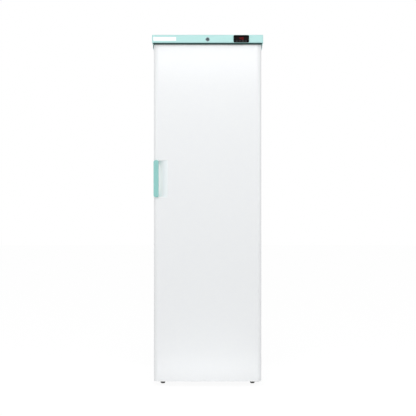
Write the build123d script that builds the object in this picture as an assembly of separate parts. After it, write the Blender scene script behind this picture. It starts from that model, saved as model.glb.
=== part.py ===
from build123d import *
from math import cos, radians, sqrt, tan
import os

# Tall laboratory refrigerator with one solid door, hinged on the right, and a control
# fascia above it. Millimetres, Z up, the front faces -Y, the origin is on the floor
# under the middle of the whole object.

# Overall layout
door_height = 1810.0
door_thickness = 58.0
floor_clearance = 31.0  # door's lower edge above the floor
fascia_gap = 5.0  # door's upper edge to the fascia's underside
gasket_gap = 12.0  # door's back to the cabinet's front
cabinet_width = 580.0  # the door is as wide
cabinet_depth = 530.0
wall_reach = 42.0  # back panel to the room's wall, kept by the spacers
bond_gap = 0.2  # foam to the skins round it, and other bonded joints
seat_gap = 0.3  # pieces that rest on or push against each other
steel_sheet = 1.0
liner_sheet = 1.5

# Top: mint fascia in front, white cover behind it
top_overhang = 7.5  # past the cabinet on each side
fascia_height = 44.0
fascia_proud = 20.0  # in front of the door
fascia_over_roof = 70.0
fascia_edge_radius = 5.0
moulding_wall = 2.5
cover_skirt = 8.0  # hangs past the roof's edge
rib_pitch = 150.0

# Cabinet walls
base_z = 50.0  # underside of the foam
side_wall = 50.0
roof_wall = 55.0
back_wall = 55.0
floor_wall = 60.0
hinge_play = 1.0  # door's upper edge to the top hinge plate, and the same below
wrap_skirt = 14.0  # outer wrap below the foam
wrap_return = 44.0  # the wrap's front flange, which the seal's magnet meets
frame_lip = 12.0  # liner's front frame round the opening
liner_corner = 14.0
compartment_depth = 190.0
compartment_height = 240.0
hump_wall = 45.0

# Shelf ledges moulded in the liner
ledge_first_z = 370.0
ledge_pitch = 130.0
ledge_count = 10
ledge_reach = 9.0
ledge_drop = 9.0
ledge_front_margin = 40.0

# Door
door_edge_radius = 24.0
door_return = 12.0  # skin's return flange on the back
cap_flange = 3.0
cap_plug = 22.0
plug_gap = 0.3
plateau_margin = 6.5  # door liner's plateau to the cabinet liner's opening
plateau_reach = 15.0  # into the cabinet
plateau_draft = 6.0  # degrees
plateau_corner = 14.0
panel_recess = 12.0
panel_frame = 45.0  # width of the plateau's raised frame
gasket_width = 26.0
gasket_foot = 4.0
gasket_lip = 18.0
gasket_clear = 0.3

# Hinges, on the door's right-hand side
hinge_inset = 22.0  # axis from the door's side
hinge_depth = 30.0  # axis behind the door's front
hinge_plate = 3.0
hinge_plate_width = 34.0
hinge_plate_shift = 3.0  # plate's middle to the left of the axis
hinge_plate_reach = 52.0  # on the roof, behind the cabinet's front
hinge_tab_rise = 12.0  # bottom bracket's tab above the foam's underside
pin_radius = 4.0
pin_reach = 16.0  # into the door
pin_running = 0.05
bush_radius = 8.0
bush_depth = 18.0
bush_flange_radius = 11.0
screw_radius = 3.0
screw_play = 0.1
screw_head_radius = 5.5
top_screw_pitch = 24.0
bottom_screw_pitch = 16.0
screw_head = 2.4  # countersunk flush

# Handle: a mint grip standing in a scooped white cup
grip_width = 27.0
grip_proud = 15.0
grip_thickness = 13.0
grip_corner = 10.0
grip_edge = 4.0
grip_foot = 15.0
handle_z = 1120.0
cup_width = 74.0
cup_height = 202.0
grip_end_gap = 1.5  # grip's end to the cup's
cup_depth = 30.0
cup_wall = 2.5
cup_flat = 24.0  # width of the cup's floor behind the grip

# Controller in the fascia
bezel_width = 83.0
bezel_height = 39.0
bezel_proud = 4.0
bezel_corner = 7.0
bezel_inset = 117.5  # bezel's middle from the fascia's right end
bezel_above = 2.4  # bezel's lower edge above the fascia's
controller_body_width = 71.0
controller_body_height = 33.0
controller_body_depth = 52.0
window_width = 68.0
window_height = 18.0
window_above = 12.0  # window's lower edge above the bezel's
window_shift = 3.0  # window's middle right of the bezel's
window_sheet = 1.6
key_width = 11.0
key_height = 5.0
key_pitch = 16.5
key_above = 6.5  # key row's centre above the bezel's lower edge
key_proud = 1.2
key_gap = 0.25
key_length = 5.0

# Lock in the fascia
lock_above = 19.0  # axis above the fascia's lower edge
lock_rose_radius = 11.5
lock_rose = 2.5
lock_barrel_radius = 8.5
lock_barrel_length = 28.0
lock_plug_radius = 6.0
lock_nut_radius = 13.0
lock_running = 0.05
lock_cam_length = 36.0
lock_cam_width = 14.0
lock_cam_sheet = 3.0
lock_tail = 7.0  # across the square bar that carries the cam
cam_gap = 1.5  # cam to the keeper on either side
keeper_sheet = 1.5
keeper_below_top = 4.0  # keeper's edge under the door's top
keeper_tab = 12.0
keeper_rivet_radius = 2.5
fascia_floor_gap = 24.0  # the fascia's floor ends this far in front of the cabinet
keyway_width = 1.8
keyway_height = 7.5
keyway_depth = 12.0

# Feet and rollers
foot_inset = 44.0  # foot's axis from the cabinet's side
foot_setback = 40.0  # behind the cabinet's front
foot_radius = 13.0
foot_height = 24.0
foot_round = 9.0
foot_stud_radius = 5.0
foot_thread_gap = 0.08
foot_nut = 14.0
foot_nut_radius = 9.0
foot_flats = 10.0
base_sheet = 2.0
base_flange = 16.0
roller_inset = 60.0  # roller's middle from the cabinet's side
roller_setback = 45.0
roller_radius = 20.0
roller_width = 22.0
roller_axle_radius = 3.0
roller_running = 0.06
roller_side_gap = 1.0
bracket_sheet = 2.0
bracket_width = 34.0

# Refrigerating circuit
compressor_length = 190.0
compressor_width = 144.0
compressor_height = 160.0
compressor_inset = 220.0  # compressor's middle from the cabinet's left side
compressor_round = 34.0
compressor_seam = 4.0
compressor_seam_rim = 4.0
compressor_foot_sheet = 3.0
compressor_saddle = 60.0  # block welded between can and foot plate
grommet_radius = 12.0
grommet_height = 14.0
grommet_bore = 4.0
relay_width = 62.0
relay_depth = 40.0
relay_height = 78.0
tray_length = 190.0
tray_width = 140.0
tray_height = 30.0
tray_wall = 2.0
pipe_radius = 3.0
suction_reach = 60.0  # suction pipe's riser from the can's side
pipe_bend = 16.0
discharge_lead = 40.0
riser_clear = 12.0  # riser's axis to the coil's bends
liquid_tube_radius = 2.5
capillary_radius = 1.2
capillary_offset = 30.0
drier_radius = 9.0
drier_length = 80.0
drier_neck = 12.0
drier_inset = 130.0  # drier's axis from the cabinet's right side
drier_above = 40.0  # drier's lower end above the base
coil_tube_radius = 2.5
coil_inset = 80.0  # coil's straight runs from the cabinet's side
coil_pitch = 74.0
coil_passes = 18
coil_first_z = 372.0
coil_standoff = 20.0  # tube's axis from the back panel
coil_wire_radius = 0.8
coil_wire_pitch = 15.0
coil_wire_gap = 0.1
coil_wire_overhang = 14.0
coil_wire_inset = 6.0  # outermost wire from the runs' ends
spacer_width = 9.0
spacer_height = 34.0

# Inside the cabinet
plate_inset = 28.5  # plate's edge from the liner's wall
plate_height = 900.0
plate_sheet = 1.6
plate_standoff = 8.0
plate_first_z = 480.0
plate_channel = 9.0
plate_channel_rise = 3.0
plate_channel_pitch = 76.0
plate_channel_passes = 11
fan_cover_inset = 38.5  # cover's side from the liner's wall
fan_cover_height = 210.0
fan_cover_depth = 64.0
fan_cover_z = 1490.0
fan_cover_corner = 14.0
fan_cover_wall = 2.5
fan_radius = 58.0
fan_frame_wall = 3.0
fan_frame_depth = 26.0
fan_hub_radius = 19.0
fan_hub_depth = 16.0
fan_blade_count = 7
fan_blade_sheet = 1.6
fan_blade_chord = 26.0
fan_blade_pitch = 38.0  # degrees
fan_tip_gap = 2.0
fan_shaft_radius = 1.5
grille_rings = 4
grille_spokes = 6
grille_bar = 2.4
vent_count = 6
vent_pitch = 26.0
vent_length = 64.0
vent_height = 7.0
lens_width = 180.0
lens_depth = 46.0
lens_drop = 11.0
lens_setback = 70.0
probe_setback = 60.0
probe_below_fan = 40.0
probe_radius = 3.0
probe_length = 46.0
switch_inset = 58.5  # switch's axis from the opening's left side
switch_below_roof = 13.0
switch_radius = 7.0
switch_depth = 22.0
plunger_radius = 3.5
plunger_gap = 0.3

# Wire shelves
shelf_steps = (0, 2, 4, 6, 8)  # ledges that carry a shelf
shelf_rod_radius = 3.0
shelf_wire_radius = 1.8
shelf_wire_count = 15
shelf_side_gap = 3.0
shelf_front_gap = 18.0
shelf_back_gap = 30.5  # back rod's axis from the liner's back
shelf_corner = 14.0
shelf_rod_sides = 12
wire_sides = 8
pipe_sides = 12

# Mains gland on the base plate's rear tab
gland_inset = 100.0  # gland's axis from the cabinet's right side
gland_tab_width = 60.0
gland_tab_height = 56.0
gland_bore_radius = 4.2
gland_body_radius = 8.0
gland_flange_radius = 12.0
gland_flange = 3.0
gland_length = 18.0

# Planes worked out from the sizes above
key_front = bezel_proud + key_proud  # the foremost point, in front of the fascia
body_depth = fascia_proud + door_thickness + gasket_gap + cabinet_depth + wall_reach
overall_depth = key_front + body_depth
fascia_front_y = -overall_depth / 2 + key_front
door_front_y = fascia_front_y + fascia_proud
door_back_y = door_front_y + door_thickness
cabinet_front_y = door_back_y + gasket_gap
cabinet_back_y = cabinet_front_y + cabinet_depth
wall_y = cabinet_back_y + wall_reach

door_bottom_z = floor_clearance
door_top_z = door_bottom_z + door_height
fascia_bottom_z = door_top_z + fascia_gap
fascia_top_z = fascia_bottom_z + fascia_height
roof_z = door_top_z + hinge_play
compartment_z = base_z + compartment_height
compartment_y = cabinet_back_y - compartment_depth

top_width = cabinet_width + 2 * top_overhang
door_width = cabinet_width
half_cabinet = cabinet_width / 2
half_door = door_width / 2
grip_height = cup_height - 2 * grip_end_gap
half_opening = half_cabinet - side_wall - liner_sheet
opening_bottom_z = base_z + floor_wall + liner_sheet
opening_top_z = roof_z - roof_wall - liner_sheet
liner_back_y = cabinet_back_y - back_wall - liner_sheet
frame_bottom_z = opening_bottom_z - frame_lip
hinge_x = half_door - hinge_inset
hinge_y = door_front_y + hinge_depth
bezel_x = top_width / 2 - bezel_inset
lock_z = fascia_bottom_z + lock_above
cam_y = door_back_y + bond_gap + keeper_sheet + cam_gap + lock_cam_sheet / 2
cam_tip = sqrt(lock_cam_length**2 + (lock_cam_width / 2) ** 2)
plateau_half = half_opening - plateau_margin
plateau_bottom_z = opening_bottom_z + plateau_margin
plateau_top_z = opening_top_z - plateau_margin
gasket_half = min(hinge_x, plateau_half + plateau_margin + gasket_width + 3.0)
switch_x = -half_opening + switch_inset
plate_width = 2 * (half_opening - plate_inset)
fan_cover_width = 2 * (half_opening - fan_cover_inset)
foot_x = half_cabinet - foot_inset
roller_x = half_cabinet - roller_inset
gland_x = half_cabinet - gland_inset
compressor_x = -half_cabinet + compressor_inset
drier_x = half_cabinet - drier_inset
coil_half_run = half_cabinet - coil_inset


def block(x_span, y_span, z_span):
    """A box between three pairs of coordinates."""
    spans = (x_span, y_span, z_span)
    size = [high - low for low, high in spans]
    middle = [(high + low) / 2 for low, high in spans]
    return Pos(*middle) * Box(*size)


def around(centre, width):
    """The pair of coordinates that lie half a width each side of a centre."""
    return (centre - width / 2, centre + width / 2)


def rod(start, end, radius):
    """A round bar between two points."""
    start = Vector(*start)
    along = Vector(*end) - start
    return extrude(Plane(origin=start, z_dir=along) * Circle(radius), amount=along.length)


def wire_section(centre, along, toward, radius, sides):
    """A wire's section as a polygon that turns a flat toward a direction."""
    polygon = Rot(0, 0, 180 / sides) * RegularPolygon(radius, sides)
    return Plane(origin=centre, x_dir=toward, z_dir=along) * polygon


def bar(start, end, radius, sides, toward):
    """A straight run of wire between two points, with few faces."""
    along = Vector(end) - Vector(start)
    section = wire_section(Vector(start), along, Vector(toward), radius, sides)
    return extrude(section, amount=along.length)


def bent_rod(route, bend, radius, sides):
    """A bar or pipe along straight runs, with a true bend at each corner."""
    corners = [Vector(point) for point in route]
    here = corners[0]
    pieces = []
    for before, corner, after in zip(corners, corners[1:], corners[2:]):
        into = (corner - before).normalized()
        out = (after - corner).normalized()
        inward = (out - into * into.dot(out)).normalized()
        turn = into.get_angle(out)
        set_back = bend * tan(radians(turn) / 2)
        start = corner - into * set_back
        pieces.append(bar(here, start, radius, sides, inward))
        section = wire_section(start, into, inward, radius, sides)
        hub = Axis(start + inward * bend, into.cross(out))
        pieces.append(revolve(section, axis=hub, revolution_arc=turn))
        here = corner + out * set_back
        across_end = out * into.dot(out) - into
    pieces.append(bar(here, corners[-1], radius, sides, across_end))
    return pieces[0].fuse(*pieces[1:])


def group(shapes):
    """Separate solids that share one node."""
    return Compound([solid for shape in shapes for solid in shape.solids()])


def front_sketch(sketch, y):
    """Puts a sketch drawn in X and Z on a plane that faces the front."""
    return Plane(origin=(0, y, 0), x_dir=(1, 0, 0), z_dir=(0, -1, 0)) * sketch


# Cabinet shell and insulation


def outer_wrap():
    """Bent steel casing: sides and roof, with a flange all round the opening in front."""
    bottom = base_z - wrap_skirt
    outside = block(
        around(0, cabinet_width), (cabinet_front_y, cabinet_back_y), (bottom, roof_z)
    )
    inside = block(
        around(0, cabinet_width - 2 * steel_sheet),
        (cabinet_front_y + steel_sheet, cabinet_back_y),
        (bottom, roof_z - steel_sheet),
    )
    mouth = block(
        around(0, cabinet_width - 2 * wrap_return),
        (cabinet_front_y, cabinet_front_y + steel_sheet),
        (frame_bottom_z, roof_z - wrap_return),
    )
    base_notch = block(
        around(0, cabinet_width - 2 * steel_sheet),
        (cabinet_front_y, cabinet_front_y + steel_sheet),
        (bottom, base_z),
    )
    wrap = outside - inside - mouth - base_notch
    return wrap - rod(
        (switch_x, cabinet_front_y - 1, switch_z()),
        (switch_x, cabinet_front_y + 2 * steel_sheet, switch_z()),
        plunger_radius + plunger_gap,
    )


def step_profile(inset):
    """Outline in Y and Z of the foamed body, stepped over the compressor's compartment."""
    front = cabinet_front_y + steel_sheet + bond_gap
    back = cabinet_back_y - inset
    top = roof_z - steel_sheet - bond_gap
    return Polyline(
        (front, base_z),
        (compartment_y - inset, base_z),
        (compartment_y - inset, compartment_z + inset),
        (back, compartment_z + inset),
        (back, top),
        (front, top),
        close=True,
    )


def across(outline, half_width):
    """Extrudes an outline drawn in Y and Z over a width centred on the cabinet."""
    face = make_face(Plane.YZ * outline)
    return extrude(face, amount=half_width, both=True)


def back_panel():
    """Bent sheet that closes the foam behind, above the compressor and in front of it."""
    sheet = steel_sheet
    outline = Polyline(
        (compartment_y - sheet, base_z),
        (compartment_y, base_z),
        (compartment_y, compartment_z),
        (cabinet_back_y, compartment_z),
        (cabinet_back_y, roof_z - sheet - bond_gap),
        (cabinet_back_y - sheet, roof_z - sheet - bond_gap),
        (cabinet_back_y - sheet, compartment_z + sheet),
        (compartment_y - sheet, compartment_z + sheet),
        close=True,
    )
    panel = across(outline, half_cabinet - sheet - bond_gap)
    return panel - suction_pipe_hole()


def suction_pipe_hole():
    """Clearance for the suction pipe through the compartment's front wall."""
    x, z = suction_entry()
    return rod(
        (x, compartment_y - hump_wall, z), (x, compartment_y + 1, z), pipe_radius + 1.0
    )


def tub(inset):
    """The inner compartment's block, with its hump at the back, shrunk by an inset."""
    front = cabinet_front_y - 1.0
    back = liner_back_y + liner_sheet - inset
    floor = opening_bottom_z - liner_sheet + inset
    ceiling = opening_top_z + liner_sheet - inset
    hump_y = compartment_y - hump_wall - inset
    hump_z = compartment_z + hump_wall + inset
    outline = Polyline(
        (front, floor),
        (hump_y, floor),
        (hump_y, hump_z),
        (back, hump_z),
        (back, ceiling),
        (front, ceiling),
        close=True,
    )
    body = across(outline, half_opening + liner_sheet - inset)
    edges = body.edges().filter_by(lambda e: e.center().Y > cabinet_front_y + 1)
    long_edges = edges.filter_by(Axis.Y) + edges.filter_by(Axis.Z)
    return fillet(long_edges, liner_corner - inset)


def insulation_foam():
    """Rigid foam between the outer wrap, the back panel and the liner."""
    face = make_face(Plane.YZ * step_profile(steel_sheet + bond_gap))
    body = extrude(face, amount=half_cabinet - steel_sheet - bond_gap, both=True)
    frame_gap = block(
        around(0, cabinet_width),
        (cabinet_front_y, cabinet_front_y + liner_sheet + bond_gap),
        (base_z, roof_z),
    )
    body = body - frame_gap - tub(-bond_gap) - suction_pipe_hole()
    return body - switch_pocket(bond_gap)


def ledge(z):
    """A shelf ledge on each side wall: flat on top, sloping back underneath."""
    wall = half_opening
    profile = Polyline(
        (wall, z), (wall - ledge_reach, z), (wall - ledge_reach, z - 2), (wall, z - ledge_drop),
        close=True,
    )
    front = cabinet_front_y + ledge_front_margin
    face = Plane(origin=(0, front, 0), x_dir=(1, 0, 0), z_dir=(0, -1, 0)) * make_face(profile)
    length = liner_back_y - plate_standoff - front - ledge_front_margin
    right = extrude(face, amount=-length)
    return right + mirror(right, about=Plane.YZ)


def inner_liner():
    """White inner compartment in one moulding, with shelf ledges and a front frame."""
    frame = block(
        around(0, cabinet_width - 2 * wrap_return - 2 * bond_gap),
        (cabinet_front_y, cabinet_front_y + liner_sheet),
        (frame_bottom_z + bond_gap, roof_z - wrap_return - bond_gap),
    )
    body = tub(0) - block(
        around(0, cabinet_width), (cabinet_front_y - 2, cabinet_front_y), (0, roof_z)
    )
    body = (body + frame) - tub(liner_sheet)
    for i in range(ledge_count):
        body += ledge(ledge_first_z + i * ledge_pitch)
    return body


# Base, feet and rollers


def foot_places():
    y = cabinet_front_y + foot_setback
    return {"left": (-foot_x, y), "right": (foot_x, y)}


def roller_places():
    y = cabinet_back_y - roller_setback
    return {"left": (-roller_x, y), "right": (roller_x, y)}


def base_plate():
    """Steel floor pan: it carries the cabinet, the compressor, the feet and the rollers."""
    half = half_cabinet - steel_sheet - bond_gap
    top = base_z - bond_gap
    front, back = cabinet_front_y + seat_gap, cabinet_back_y
    pan = block((-half, half), (front, back), (top - base_flange, top))
    pan -= block(
        (-half + base_sheet, half - base_sheet),
        (front + base_sheet, back + 1),
        (top - base_flange - 1, top - base_sheet),
    )
    tab = block(
        around(gland_x, gland_tab_width),
        (back - base_sheet, back),
        (top - base_sheet, top + gland_tab_height),
    )
    pan += fillet(
        tab.edges().filter_by(Axis.Y).filter_by(lambda e: e.center().Z > top), 8
    )
    pan -= rod(
        (gland_x, back - 5, gland_z()), (gland_x, back + 5, gland_z()), gland_body_radius + bond_gap
    )
    nut_bottom = top - base_sheet - foot_nut
    for x, y in foot_places().values():
        hexagon = Plane(origin=(x, y, nut_bottom)) * RegularPolygon(foot_nut_radius, 6)
        pan += extrude(hexagon, amount=foot_nut)
        pan -= rod(
            (x, y, nut_bottom - 1), (x, y, top + 1), foot_stud_radius + foot_thread_gap
        )
    for x, y in mount_points():
        pan -= rod((x, y, top - 5), (x, y, top + 1), grommet_bore - 0.5)
    return pan


def levelling_foot(side):
    """A rubber-shod foot: rounded puck, spanner flats and a stud into the base's nut."""
    x, y = foot_places()[side]
    puck = Pos(x, y, foot_height / 2) * Cylinder(foot_radius, foot_height)
    puck = fillet(puck.edges().group_by(Axis.Z)[0], foot_round)
    puck = chamfer(puck.edges().group_by(Axis.Z)[-1], 1.5)
    collar = Plane(origin=(x, y, foot_height)) * RegularPolygon(foot_flats, 6)
    collar = extrude(collar, amount=3)
    stud_top = base_z - base_sheet - 1.0
    return puck + collar + rod((x, y, foot_height), (x, y, stud_top), foot_stud_radius)


def roller(side):
    """Nylon roller with a crowned tread, shallow hollows in its sides and a plain bore."""
    x, y = roller_places()[side]
    half = roller_width / 2
    outline = Polyline(
        (roller_axle_radius + roller_running, -half),
        (roller_radius * 0.42, -half),
        (roller_radius * 0.5, -half + 3),
        (roller_radius * 0.78, -half + 3),
        (roller_radius * 0.86, -half),
        (roller_radius - 1.5, -half),
        (roller_radius, -half + 1.5),
        (roller_radius, half - 1.5),
        (roller_radius - 1.5, half),
        (roller_radius * 0.86, half),
        (roller_radius * 0.78, half - 3),
        (roller_radius * 0.5, half - 3),
        (roller_radius * 0.42, half),
        (roller_axle_radius + roller_running, half),
        close=True,
    )
    wheel = revolve(Plane.XZ * make_face(outline), axis=Axis.Z)
    return Pos(x, y, roller_radius) * Rot(0, 90, 0) * wheel


def roller_bracket(side):
    """U-shaped steel bracket: a top plate under the base and two cheeks."""
    x, y = roller_places()[side]
    inner = roller_width / 2 + roller_side_gap
    top = base_z - bond_gap - base_sheet - bond_gap
    low = roller_radius - 8
    body = block(
        around(x, 2 * (inner + bracket_sheet)), around(y, bracket_width), (low, top)
    )
    body -= block(around(x, 2 * inner), around(y, bracket_width + 2), (low - 1, top - bracket_sheet))
    lower = body.edges().filter_by(Axis.X).filter_by(lambda e: e.center().Z < low + 1)
    body = fillet(lower, 7)
    reach = inner + bracket_sheet + 1
    bore = rod(
        (x - reach, y, roller_radius), (x + reach, y, roller_radius),
        roller_axle_radius + roller_running,
    )
    return body - bore


def roller_axle(side):
    """Rivet-headed pin through a bracket and its roller."""
    x, y = roller_places()[side]
    reach = roller_width / 2 + roller_side_gap + bracket_sheet + seat_gap
    pin = rod((x - reach, y, roller_radius), (x + reach, y, roller_radius), roller_axle_radius)
    for end in (-1, 1):
        face = x + end * reach
        pin += rod(
            (face, y, roller_radius), (face + end * 2, y, roller_radius), roller_axle_radius + 2
        )
    return pin


# Top: fascia and cover


def top_section(front, back, bottom):
    """A block under the top's outline, between two planes."""
    return block(around(0, top_width), (front, back), (bottom, fascia_top_z))


def fascia():
    """Mint control fascia: a hollow moulding over the door, resting on the roof's front."""
    back = cabinet_front_y + fascia_over_roof
    wall = moulding_wall
    skirt_z = roof_z - cover_skirt
    shell = top_section(fascia_front_y, back, fascia_bottom_z)
    front_edges = shell.edges().filter_by(
        lambda e: abs(e.center().Y - fascia_front_y) < 0.1
    )
    shell = fillet(front_edges, fascia_edge_radius)
    shell += top_section(cabinet_front_y, back, skirt_z)
    hollow = block(
        around(0, top_width - 2 * wall),
        (fascia_front_y + wall, back + 1),
        (fascia_bottom_z + wall, fascia_top_z - wall),
    )
    open_floor = block(
        around(0, top_width - 2 * wall),
        (cabinet_front_y - fascia_floor_gap, back + 1),
        (skirt_z - 1, fascia_top_z - wall),
    )
    body = shell - hollow - open_floor
    # Cross ribs stand on the roof and carry the moulding
    for x in fascia_rib_places():
        body += block(
            around(x, wall),
            (cabinet_front_y + 2, back - seat_gap),
            (roof_z + seat_gap, fascia_top_z - wall / 2),
        )
    body -= controller_opening()
    return body - rod(
        (0, fascia_front_y - 1, lock_z), (0, fascia_front_y + wall + 1, lock_z),
        lock_barrel_radius + bond_gap,
    )


def fascia_rib_places():
    """Even places along the roof that keep clear of the hinge plate."""
    last = hinge_x - hinge_plate_width
    count = int(last / rib_pitch)
    return [i * last / (count + 0.5) for i in range(-count, count + 1)]


def top_cover():
    """White pan over the roof: flat top, skirts past the roof's sides and ribs below."""
    front = cabinet_front_y + fascia_over_roof + bond_gap
    wall = moulding_wall
    bottom = roof_z - cover_skirt
    shell = top_section(front, cabinet_back_y, bottom)
    rear = shell.edges().filter_by(lambda e: abs(e.center().Y - cabinet_back_y) < 0.1)
    shell = fillet(rear.filter_by(Axis.X).sort_by(Axis.Z)[-1:], fascia_edge_radius)
    side_edges = shell.edges().filter_by(Axis.Y).filter_by(
        lambda e: e.center().Z > fascia_top_z - 1
    )
    shell = fillet(side_edges, fascia_edge_radius / 2)
    hollow = block(
        around(0, top_width - 2 * wall),
        (front + wall, cabinet_back_y - wall),
        (bottom - 1, fascia_top_z - wall),
    )
    body = shell - hollow
    # The roof passes under the front and rear walls, which stand on it
    roof_room = block(
        around(0, cabinet_width + 2 * seat_gap), (front - 1, cabinet_back_y + 1),
        (bottom - 1, roof_z + seat_gap),
    )
    body -= roof_room
    count = int(cabinet_width / 2 / rib_pitch)
    for i in range(-count, count + 1):
        body += block(
            around(i * rib_pitch, wall),
            (front + 1, cabinet_back_y - 1),
            (roof_z + seat_gap, fascia_top_z - wall / 2),
        )
    return body


# Controller


def bezel_z():
    return fascia_bottom_z + bezel_above + bezel_height / 2


def controller_opening():
    """Cut-out in the fascia's front wall for the controller's body."""
    return block(
        around(bezel_x, controller_body_width + 2 * bond_gap),
        (fascia_front_y - 1, fascia_front_y + moulding_wall + 1),
        around(bezel_z(), controller_body_height + 2 * bond_gap),
    )


def window_span():
    """The display window's pairs of X and Z."""
    low = bezel_z() - bezel_height / 2 + window_above
    return around(bezel_x + window_shift, window_width), (low, low + window_height)


def controller_case():
    """Black panel instrument: rounded bezel, window seat, key holes and the body behind."""
    z = bezel_z()
    outline = RectangleRounded(bezel_width, bezel_height, bezel_corner)
    face = front_sketch(Pos(bezel_x, z) * outline, fascia_front_y)
    bezel = extrude(face, amount=bezel_proud)
    front = bezel.edges().filter_by(
        lambda e: abs(e.center().Y - fascia_front_y + bezel_proud) < 0.1
    )
    bezel = fillet(front, 1.5)
    body = block(
        around(bezel_x, controller_body_width),
        (fascia_front_y - 0.5, fascia_front_y + controller_body_depth),
        around(z, controller_body_height),
    )
    case = bezel + body
    x_span, z_span = window_span()
    face_y = fascia_front_y - bezel_proud
    case -= block(x_span, (face_y - 1, face_y + window_sheet + 1.5), z_span)
    for x, key_z in key_places().values():
        case -= key_shape(x, key_z, face_y - 1, key_proud + key_length + 3, key_gap)
    return case


def display_window():
    """Smoked lens let into the bezel."""
    (x0, x1), (z0, z1) = window_span()
    face_y = fascia_front_y - bezel_proud
    lens = block(
        (x0 + bond_gap, x1 - bond_gap), (face_y + 0.3, face_y + 0.3 + window_sheet),
        (z0 + bond_gap, z1 - bond_gap),
    )
    return fillet(lens.edges().filter_by(Axis.Y), 1.0)


def key_places():
    names = ("power", "down", "up", "set")
    z = bezel_z() - bezel_height / 2 + key_above
    first = bezel_x - key_pitch * (len(names) - 1) / 2
    return {name: (first + i * key_pitch, z) for i, name in enumerate(names)}


def key_shape(x, z, y, length, margin):
    """A pill-shaped prism that starts at a plane and runs back, grown by a margin."""
    outline = SlotOverall(key_width + 2 * margin, key_height + 2 * margin)
    return extrude(front_sketch(Pos(x, z) * outline, y), amount=-length)


def key(name):
    """One push key of the controller."""
    x, z = key_places()[name]
    front = fascia_front_y - bezel_proud - key_proud
    cap = key_shape(x, z, front, key_proud + key_length, 0)
    rim = cap.edges().filter_by(lambda e: abs(e.center().Y - front) < 0.01)
    return chamfer(rim, 0.5)


# Lock


def lock_barrel():
    """Chromed barrel with its rose, clamped in the fascia by a hexagon nut behind."""
    y = fascia_front_y
    rose = rod((0, y - lock_rose, lock_z), (0, y, lock_z), lock_rose_radius)
    rose = chamfer(rose.edges().filter_by(lambda e: e.center().Y < y - lock_rose / 2), 1.0)
    barrel = rod((0, y - 0.5, lock_z), (0, y + lock_barrel_length - 1, lock_z), lock_barrel_radius)
    bore = rod(
        (0, y - lock_rose - 1, lock_z), (0, y + lock_barrel_length + 1, lock_z),
        lock_plug_radius + lock_running,
    )
    seat = y + moulding_wall + seat_gap
    nut = extrude(front_sketch(Pos(0, lock_z) * RegularPolygon(lock_nut_radius, 6), seat), amount=-4)
    nut -= rod((0, seat - 1, lock_z), (0, seat + 6, lock_z), lock_barrel_radius + lock_running)
    return group([rose + barrel - bore, nut])


def lock_plug():
    """Turning plug with the keyway in its face and a long square tail for the cam."""
    front = fascia_front_y - lock_rose + 0.4
    back = fascia_front_y + lock_barrel_length - 0.5
    plug = rod((0, front, lock_z), (0, back, lock_z), lock_plug_radius)
    keyway = block(
        around(0, keyway_width), (front - 1, front + keyway_depth), around(lock_z, keyway_height)
    )
    tail = block(
        around(0, lock_tail), (back - 1, cam_y + lock_cam_sheet / 2 + 2), around(lock_z, lock_tail)
    )
    return plug - keyway + tail


def lock_cam():
    """Flat cam on the plug's tail, level when unlocked, down in the keeper when locked."""
    y = cam_y - lock_cam_sheet / 2
    outline = Rectangle(lock_cam_length + lock_cam_width / 2, lock_cam_width)
    middle = (lock_cam_length - lock_cam_width / 2) / 2
    plate = extrude(front_sketch(Pos(middle, lock_z) * outline, y), amount=-lock_cam_sheet)
    plate = fillet(plate.edges().filter_by(Axis.Y), 3)
    hole = lock_tail + 2 * bond_gap
    return plate - block(around(0, hole), (y - 1, y + lock_cam_sheet + 1), around(lock_z, hole))


def lock_keeper():
    """Bent steel channel on the door's back, open at the top and ends for the cam."""
    top = door_top_z - keeper_below_top
    reach = sqrt(cam_tip**2 - (lock_z - top) ** 2)
    left, right = -lock_cam_width / 2 - cam_gap, reach + cam_gap
    floor = lock_z - cam_tip - cam_gap
    front = door_back_y + bond_gap
    back = front + 2 * keeper_sheet + 2 * cam_gap + lock_cam_sheet
    channel = block((left, right), (front, back), (floor - keeper_sheet, top))
    channel -= block(
        (left - 1, right + 1), (front + keeper_sheet, back - keeper_sheet), (floor, top + 1)
    )
    rim = channel.edges().filter_by(Axis.X).filter_by(lambda e: e.center().Z < floor - 1)
    channel = fillet(rim, keeper_sheet)
    middle = (floor + top) / 2
    for end, side in ((left, -1), (right, 1)):
        tip = end + side * keeper_tab
        tab = block((min(end, tip), max(end, tip)), (front, front + keeper_sheet), (floor, top))
        tab = fillet(tab.edges().filter_by(Axis.Y).filter_by(
            lambda e: abs(e.center().X - tip) < 0.1), 3)
        rivet_x = end + side * keeper_tab / 2
        channel += tab + rod(
            (rivet_x, front + keeper_sheet, middle), (rivet_x, front + keeper_sheet + 1, middle),
            keeper_rivet_radius,
        )
    return channel


# Hinges


def top_hinge_bracket():
    """Flat plate screwed on the roof, reaching forward over the door's corner."""
    low, high = roof_z, roof_z + hinge_plate
    x = hinge_x - hinge_plate_shift
    back = cabinet_front_y + hinge_plate_reach
    plate = block(around(x, hinge_plate_width), (hinge_y, back), (low, high))
    plate += rod((x, hinge_y, low), (x, hinge_y, high), hinge_plate_width / 2)
    plate -= rod((hinge_x, hinge_y, low - 1), (hinge_x, hinge_y, high + 1), pin_radius + pin_running)
    for place in top_screws():
        plate -= countersunk(place, (0, 0, 1), screw_play)
    return plate


def top_screws():
    """Points on the top plate's face where its screws stand."""
    x = hinge_x - hinge_plate_shift
    rows = around(hinge_plate_reach / 2, top_screw_pitch)
    return [(x, cabinet_front_y + row, roof_z + hinge_plate) for row in rows]


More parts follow.
